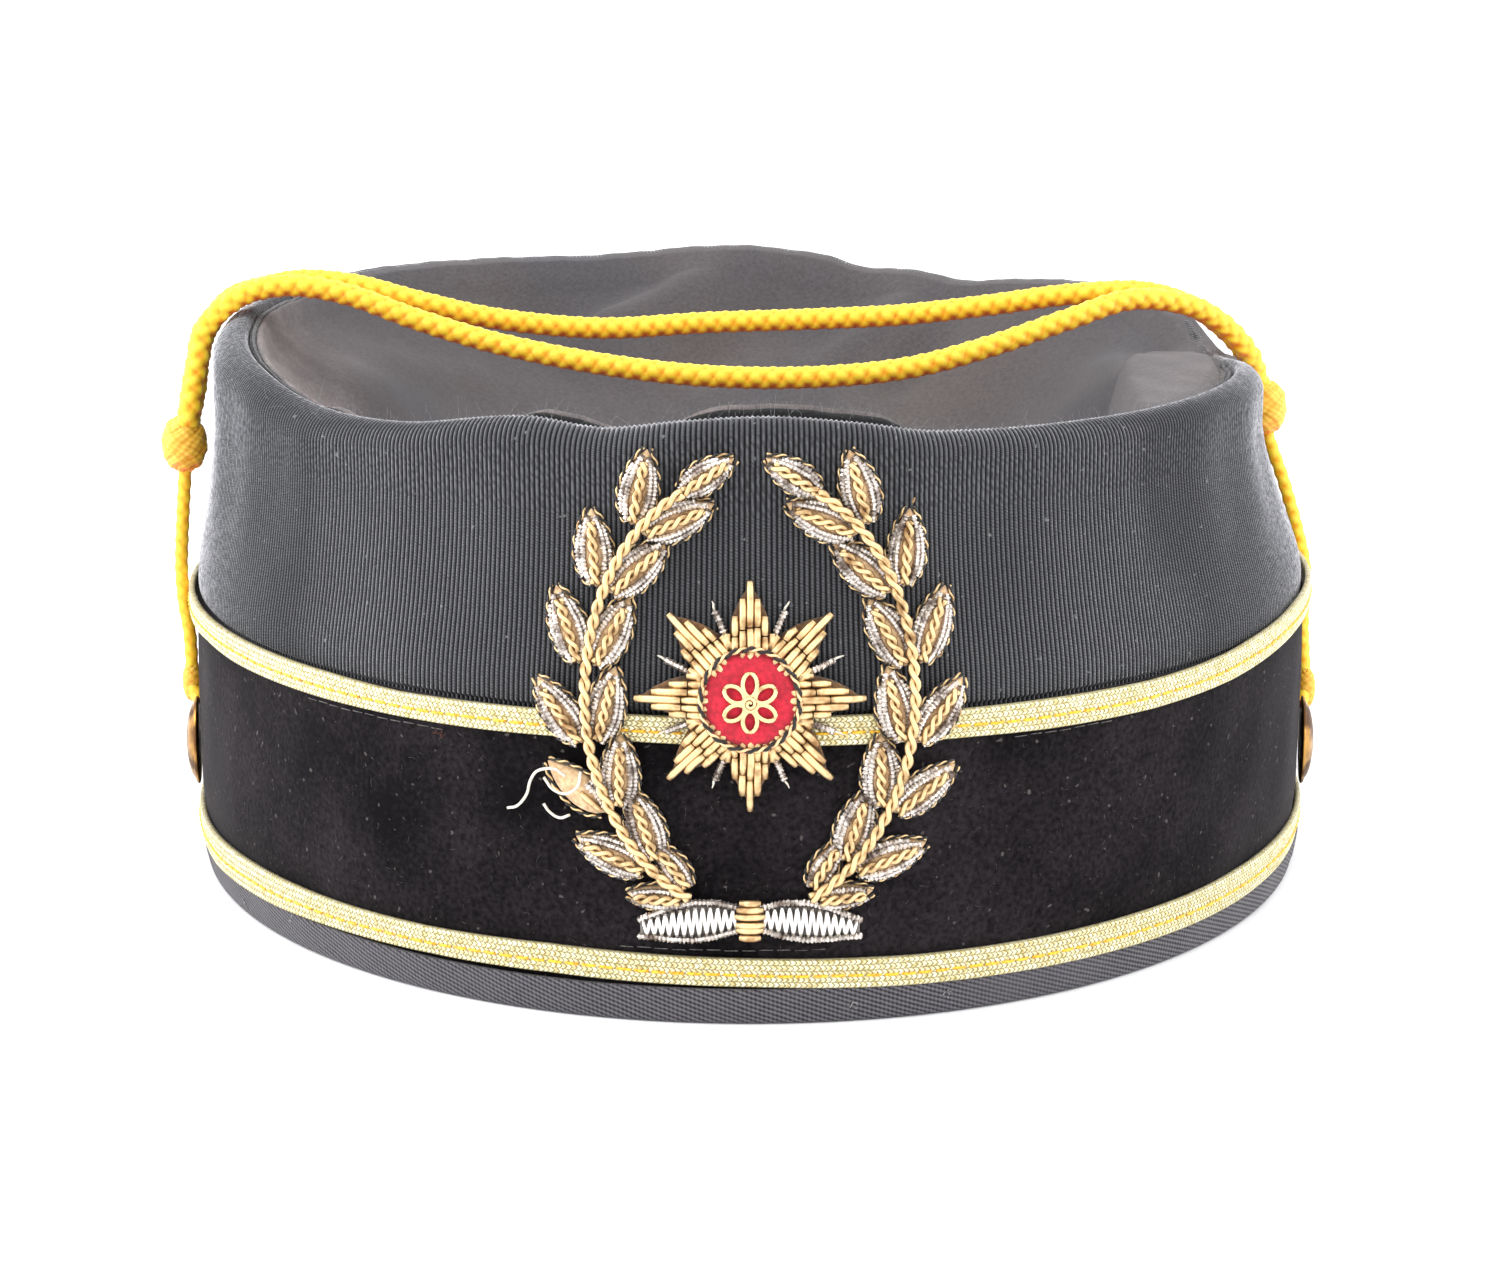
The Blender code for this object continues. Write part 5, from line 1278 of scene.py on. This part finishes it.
def make_star(scene):
    colours = scene.cap_colours
    purl = scene.cap_sizes.purl / MM
    needle = Needle(8)
    felt, gilt, silver, white, black = range(5)
    steps = STAR_POINTS * 8
    turns = 2 * np.pi * np.arange(steps) / steps
    phase = np.abs(1.0 - 2.0 * (np.arange(steps) / 8 % 1.0))
    reach = STAR_RADIUS * 0.93 * (1.0 - (1.0 - STAR_VALLEY) * (1.0 - phase))
    outline = np.stack((reach * np.sin(turns), EMBLEM_MIDDLE + reach * np.cos(turns)), -1)
    needle.pad(outline, 0.75, -0.35, felt, rings=(1.0, 0.9, 0.6, 0.3))
    for ray in range(STAR_POINTS):
        turn = 2 * np.pi * ray / STAR_POINTS
        ahead = np.array((math.sin(turn), math.cos(turn)))
        across = np.array((ahead[1], -ahead[0]))
        for lane in range(-3, 4):
            off = lane * 0.98
            start = 4.6 + abs(lane) * 0.5
            end = STAR_RADIUS * 0.985 - abs(off) * 2.35
            if end - start < 1.2:
                continue
            cuts = [start, end] if end - start < 4.5 else [start, start + (end - start)
                                                          * needle.rng.uniform(0.38, 0.62), end]
            for near, far in zip(cuts, cuts[1:]):
                run = np.linspace(near + 0.08, far - 0.10, 6)
                bend = needle.rng.normal(0.0, 0.07) * np.sin(np.linspace(0, np.pi, 6))
                line = np.array((0.0, EMBLEM_MIDDLE)) + ahead * run[:, None] + across * (off + bend)[:, None]
                lift = 1.05 + 0.55 * (1 - (np.abs(off) / 3.4) ** 2) - 0.035 * run
                needle.chip(np.column_stack((line, lift)), purl * needle.rng.uniform(0.92, 1.05), gilt)
        turn += np.pi / STAR_POINTS
        ahead = np.array((math.sin(turn), math.cos(turn)))
        run = np.linspace(8.6, 12.0, 5)
        line = np.array((0.0, EMBLEM_MIDDLE)) + ahead * run[:, None]
        needle.check(np.column_stack((line, np.full(5, 0.25))), 0.5, silver)
        run = np.linspace(11.9, 13.3, 4)
        line = np.array((0.0, EMBLEM_MIDDLE)) + ahead * run[:, None]
        tip = line + np.stack((0.12 * np.sin(run * 3), 0.1 * np.cos(run * 2)), -1)
        needle.work.tube(needle.place(np.column_stack((tip, np.full(4, 0.05)))), (0.16, 0.17, 0.14, 0.06), 5,
                         needle.outward(np.column_stack((tip, np.full(4, 0.05)))), white)
    piece = needle.work.finish("star_burst", [
        # Painted shade: the felt under the star is dark brown so that the gaps between its purl chips read as shade
        wool_felt("star_felt", linear("7a5530"), linear("3d2815")),
        wire_purl("star_gilt", colours.gilt, "8a5c2c", (0.54, 0.74), 0.16, 0.28),
        wire_purl("star_silver", colours.silver, "5f4a3c", (0.48, 0.66), 0.3, 0.28),
        spun_thread("star_thread", "f3eee4", "c9bfae"), spun_thread("star_silk", "26221f", "0d0b0a")])
    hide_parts("emblem_star")


def make_roundel(scene):
    colours = scene.cap_colours
    needle = Needle(15)
    felt, gilt, black = range(3)
    turns = 2 * np.pi * np.arange(72) / 72
    frayed = ROUNDEL_RADIUS * 0.95 + needle.rng.normal(0.0, 0.07, 72)
    outline = np.stack((frayed * np.cos(turns), EMBLEM_MIDDLE + frayed * np.sin(turns)), -1)
    base = STAR_PAD + GAP
    needle.pad(outline, base + ROUNDEL_PAD * 0.8, base - 0.5, felt)
    edge = np.linspace(0, 2 * np.pi, 90)
    ring = np.stack((ROUNDEL_RADIUS * 1.0 * np.cos(edge), EMBLEM_MIDDLE + ROUNDEL_RADIUS * np.sin(edge),
                     np.full(90, base + 0.35)), -1)
    needle.twist(ring, 0.24, 0.22, 0.18, 2.3, (gilt, black))
    for petal in range(6):
        turn = 2 * np.pi * petal / 6
        share = np.linspace(0.0, 1.0, 9)
        wide = 1.05 * np.sin(np.pi * share)
        run = 0.9 + 2.9 * (0.5 - 0.5 * np.cos(np.pi * share))
        for flank in (-1, 1):
            x = run * math.sin(turn) + flank * wide * math.cos(turn) * 0.9
            z = run * math.cos(turn) - flank * wide * math.sin(turn) * 0.9
            needle.chip(np.stack((x, EMBLEM_MIDDLE + z, np.full(9, base + 1.15)), -1), 0.34, gilt, step=0.5)
    coil = np.linspace(0.0, 4 * np.pi, 40)
    reach = 0.15 + 0.95 * coil / (4 * np.pi)
    needle.chip(np.stack((reach * np.cos(coil), EMBLEM_MIDDLE + reach * np.sin(coil), np.full(40, base + 1.3)), -1),
                0.26, gilt, step=0.25)
    rng = needle.rng
    picks = rng.integers(0, 72, 90)
    roots = needle.place(np.column_stack((outline[picks], np.full(90, base + 0.3))))
    out = unit(roots - needle.place([(0.0, EMBLEM_MIDDLE, base)]))
    hairs(needle.work, roots, out * 0.8 + (0, -0.4, 0), rng, (0.3, 0.9), 0.035, 3)
    piece = needle.work.finish("felt_roundel", [
        wool_felt("red_wool_felt", colours.felt, linear("9c1226")),
        wire_purl("rosette_gilt", colours.gilt, "8a5c2c", (0.56, 0.76), 0.16, 0.26),
        spun_thread("roundel_silk", "26221f", "0d0b0a"), spun_thread("red_fibre", "e02c46", "a3152a", 0.9)])
    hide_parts("emblem_roundel")


RIBBON_ROWS = np.array([
    (0.00, 0.45, 0.75), (0.15, 0.73, 0.74), (0.30, 0.99, 0.72), (0.50, 1.10, 0.66), (0.70, 0.93, 0.58),
    (0.85, 0.68, 0.50), (1.00, 0.45, 0.40),
])


def ribbon_edge(place, edge):
    """Sideways distance and height on the bow at a share of its half length and a share of its half height."""
    height = np.interp(np.abs(place), RIBBON_ROWS[:, 0], RIBBON_ROWS[:, 1]) * RIBBON_HEIGHT / 2
    middle = EMBLEM_LOW + np.interp(np.abs(place), RIBBON_ROWS[:, 0], RIBBON_ROWS[:, 2]) * RIBBON_HEIGHT
    return np.stack((place * RIBBON_LENGTH / 2, middle + edge * height), -1)


def make_ribbon(scene):
    colours = scene.cap_colours
    needle = Needle(19)
    felt, plate, silver, gilt = range(4)
    for side in (-1, 1):
        place = side * np.linspace(0.08, 0.98, 22)
        outline = np.vstack((ribbon_edge(place, 0.9), ribbon_edge(place[::-1], -0.9)))
        needle.pad(outline, 0.9, -0.35, felt)
        turns = 26
        zigzag = ribbon_edge(side * np.linspace(0.12, 0.95, turns), 0.74 * np.where(np.arange(turns) % 2, 1, -1))
        for near, far in zip(zigzag, zigzag[1:]):
            line = near + (far - near) * np.linspace(0, 1, 5)[:, None]
            needle.chip(np.column_stack((line, 1.05 + 0.25 * np.sin(np.linspace(0, np.pi, 5)))), 0.30, plate, 6)
        for edge in (-1, 1):
            line = ribbon_edge(side * np.linspace(0.06, 1.0, 30), edge * 0.95)
            needle.check(np.column_stack((line, np.full(30, 0.7))), 0.5, silver)
    for row in range(6):
        z = EMBLEM_LOW + RIBBON_HEIGHT * 0.75 - 2.5 + row * 1.0
        half = 1.9 - 0.09 * (row - 2.5) ** 2
        line = np.stack((np.linspace(-half, half, 7), np.full(7, z) + needle.rng.normal(0, 0.05),
                         1.25 + 0.45 * np.cos(np.linspace(-1.3, 1.3, 7))), -1)
        needle.chip(line, 0.5, gilt)
    piece = needle.work.finish("bow_ribbon", [
        wool_felt("bow_felt", linear("8d867f"), linear("4c4642")),
        wire_purl("silver_plate", linear("f0eeec"), "a59c94", (0.58, 0.8), 1.1, 0.18),
        wire_purl("bow_silver", colours.silver, "5f4a3c", (0.50, 0.68), 0.3, 0.28),
        wire_purl("bow_gilt", colours.gilt, "8a5c2c", (0.52, 0.72), 0.16, 0.28)])
    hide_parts("emblem_ribbon")


def make_stage(scene):
    """A white sweep under soft lights, and the camera where the photograph was taken from."""
    run = np.concatenate((np.linspace(-1.6, 1.4, 16), 1.4 + 1.2 * np.sin(np.linspace(0.1, 1.5, 10))))
    rise = np.concatenate((np.zeros(16), 1.2 * (1 - np.cos(np.linspace(0.1, 1.5, 10)))))
    wide = np.linspace(-2.4, 2.4, 9)
    points = [(x, y, z) for y, z in zip(run, rise) for x in wide]
    faces = [(r * 9 + c, r * 9 + c + 1, r * 9 + c + 10, r * 9 + c + 9) for r in range(len(run) - 1) for c in range(8)]
    mesh = bpy.data.meshes.new("sweep")
    mesh.from_pydata(points, [], faces)
    mesh.materials.append(studio_floor())
    mesh.shade_smooth()
    sweep = bpy.data.objects.new("sweep", mesh)
    bpy.context.collection.objects.link(sweep)
    world = bpy.data.worlds.new("studio")
    world.use_nodes = True
    world.node_tree.nodes["Background"].inputs["Color"].default_value = (1.0, 1.0, 1.0, 1.0)
    world.node_tree.nodes["Background"].inputs["Strength"].default_value = 1.38
    scene.world = world
    scene.view_settings.view_transform = "Standard"
    lights = [
        ("softbox_left", (-0.95, -0.10, 0.45), 0.9, 10.0),
        ("softbox_right", (0.95, -0.10, 0.40), 0.9, 5.5),
        ("softbox_top", (0.0, -0.15, 1.15), 0.9, 5.0),
    ]
    for name, place, size, power in lights:
        data = bpy.data.lights.new(name, "AREA")
        data.size, data.energy = size, power
        light = bpy.data.objects.new(name, data)
        light.location = place
        light.rotation_euler = (Vector((0.0, 0.0, 0.04)) - Vector(place)).to_track_quat("-Z", "Y").to_euler()
        bpy.context.collection.objects.link(light)
    camera = bpy.data.cameras.new("camera")
    camera.lens, camera.sensor_width, camera.sensor_fit = 79.0, 36.0, "HORIZONTAL"
    view = bpy.data.objects.new("camera", camera)
    view.location = (0.0, (SHIFT[1] - 517.2) * MM, 152.6 * MM)
    view.rotation_euler = (math.radians(90.0 - 13.18), 0.0, 0.0)
    bpy.context.collection.objects.link(view)
    scene.camera = view


class CAP_OT_stage(bpy.types.Operator):
    """Add the sweep, the lights and the camera"""

    bl_idname = "cap.stage"
    bl_label = "Stage"

    def execute(self, context):
        make_stage(context.scene)
        return {"FINISHED"}


class CAP_OT_cords(bpy.types.Operator):
    """Add the plaited cap cord, its leaders and its knots"""

    bl_idname = "cap.cords"
    bl_label = "Cords and knots"

    def execute(self, context):
        make_cords(context.scene)
        return {"FINISHED"}


class CAP_OT_ribbed_side(bpy.types.Operator):
    """Add the ribbed side of the crown"""

    bl_idname = "cap.ribbed_side"
    bl_label = "Ribbed side"

    def execute(self, context):
        make_ribbed_side(context.scene)
        return {"FINISHED"}


class CAP_OT_top_panel(bpy.types.Operator):
    """Add the sunk top panel and its rolled seam"""

    bl_idname = "cap.top_panel"
    bl_label = "Top panel"

    def execute(self, context):
        make_top_panel(context.scene)
        return {"FINISHED"}


class CAP_OT_velvet(bpy.types.Operator):
    """Add the velvet band"""

    bl_idname = "cap.velvet"
    bl_label = "Velvet band"

    def execute(self, context):
        make_velvet(context.scene)
        return {"FINISHED"}


class CAP_OT_braids(bpy.types.Operator):
    """Add the two gold braids with their stitching"""

    bl_idname = "cap.braids"
    bl_label = "Gold braids"

    def execute(self, context):
        make_braids(context.scene)
        return {"FINISHED"}


class CAP_OT_binding(bpy.types.Operator):
    """Add the twill tape round the hem"""

    bl_idname = "cap.binding"
    bl_label = "Hem binding"

    def execute(self, context):
        make_binding(context.scene)
        return {"FINISHED"}


class CAP_OT_buttons(bpy.types.Operator):
    """Add the two domed side buttons"""

    bl_idname = "cap.buttons"
    bl_label = "Side buttons"

    def execute(self, context):
        make_buttons(context.scene)
        return {"FINISHED"}


class CAP_OT_wreath(bpy.types.Operator):
    """Add the two embroidered branches"""

    bl_idname = "cap.wreath"
    bl_label = "Wreath"

    def execute(self, context):
        make_wreath(context.scene)
        return {"FINISHED"}


class CAP_OT_star(bpy.types.Operator):
    """Add the embroidered star burst"""

    bl_idname = "cap.star"
    bl_label = "Star burst"

    def execute(self, context):
        make_star(context.scene)
        return {"FINISHED"}


class CAP_OT_roundel(bpy.types.Operator):
    """Add the red felt roundel with its rosette"""

    bl_idname = "cap.roundel"
    bl_label = "Felt roundel"

    def execute(self, context):
        make_roundel(context.scene)
        return {"FINISHED"}


class CAP_OT_ribbon(bpy.types.Operator):
    """Add the embroidered ribbon bow"""

    bl_idname = "cap.ribbon"
    bl_label = "Ribbon bow"

    def execute(self, context):
        make_ribbon(context.scene)
        return {"FINISHED"}


OPERATORS = (CAP_OT_stage, CAP_OT_cords, CAP_OT_ribbed_side, CAP_OT_top_panel, CAP_OT_velvet, CAP_OT_braids,
             CAP_OT_binding, CAP_OT_buttons, CAP_OT_wreath, CAP_OT_star, CAP_OT_roundel, CAP_OT_ribbon)


class CAP_PT_sidebar(bpy.types.Panel):
    """The cap's sizes, colours and pieces"""

    bl_idname = "CAP_PT_sidebar"
    bl_label = "Ceremonial cap"
    bl_space_type = "VIEW_3D"
    bl_region_type = "UI"
    bl_category = "Cap"

    def draw(self, context):
        for group in (context.scene.cap_sizes, context.scene.cap_colours):
            for name in group.__annotations__:
                self.layout.prop(group, name)
        for operator in OPERATORS:
            self.layout.operator(operator.bl_idname)


CLASSES = (CapSizes, CapColours, *OPERATORS, CAP_PT_sidebar)


def register():
    for item in CLASSES:
        bpy.utils.register_class(item)
    bpy.types.Scene.cap_sizes = PointerProperty(type=CapSizes)
    bpy.types.Scene.cap_colours = PointerProperty(type=CapColours)


def unregister():
    del bpy.types.Scene.cap_sizes, bpy.types.Scene.cap_colours
    for item in reversed(CLASSES):
        bpy.utils.unregister_class(item)


def main():
    register()
    for operator in OPERATORS:
        getattr(bpy.ops.cap, operator.bl_idname.split(".")[1])()


if __name__ == "__main__":
    main()
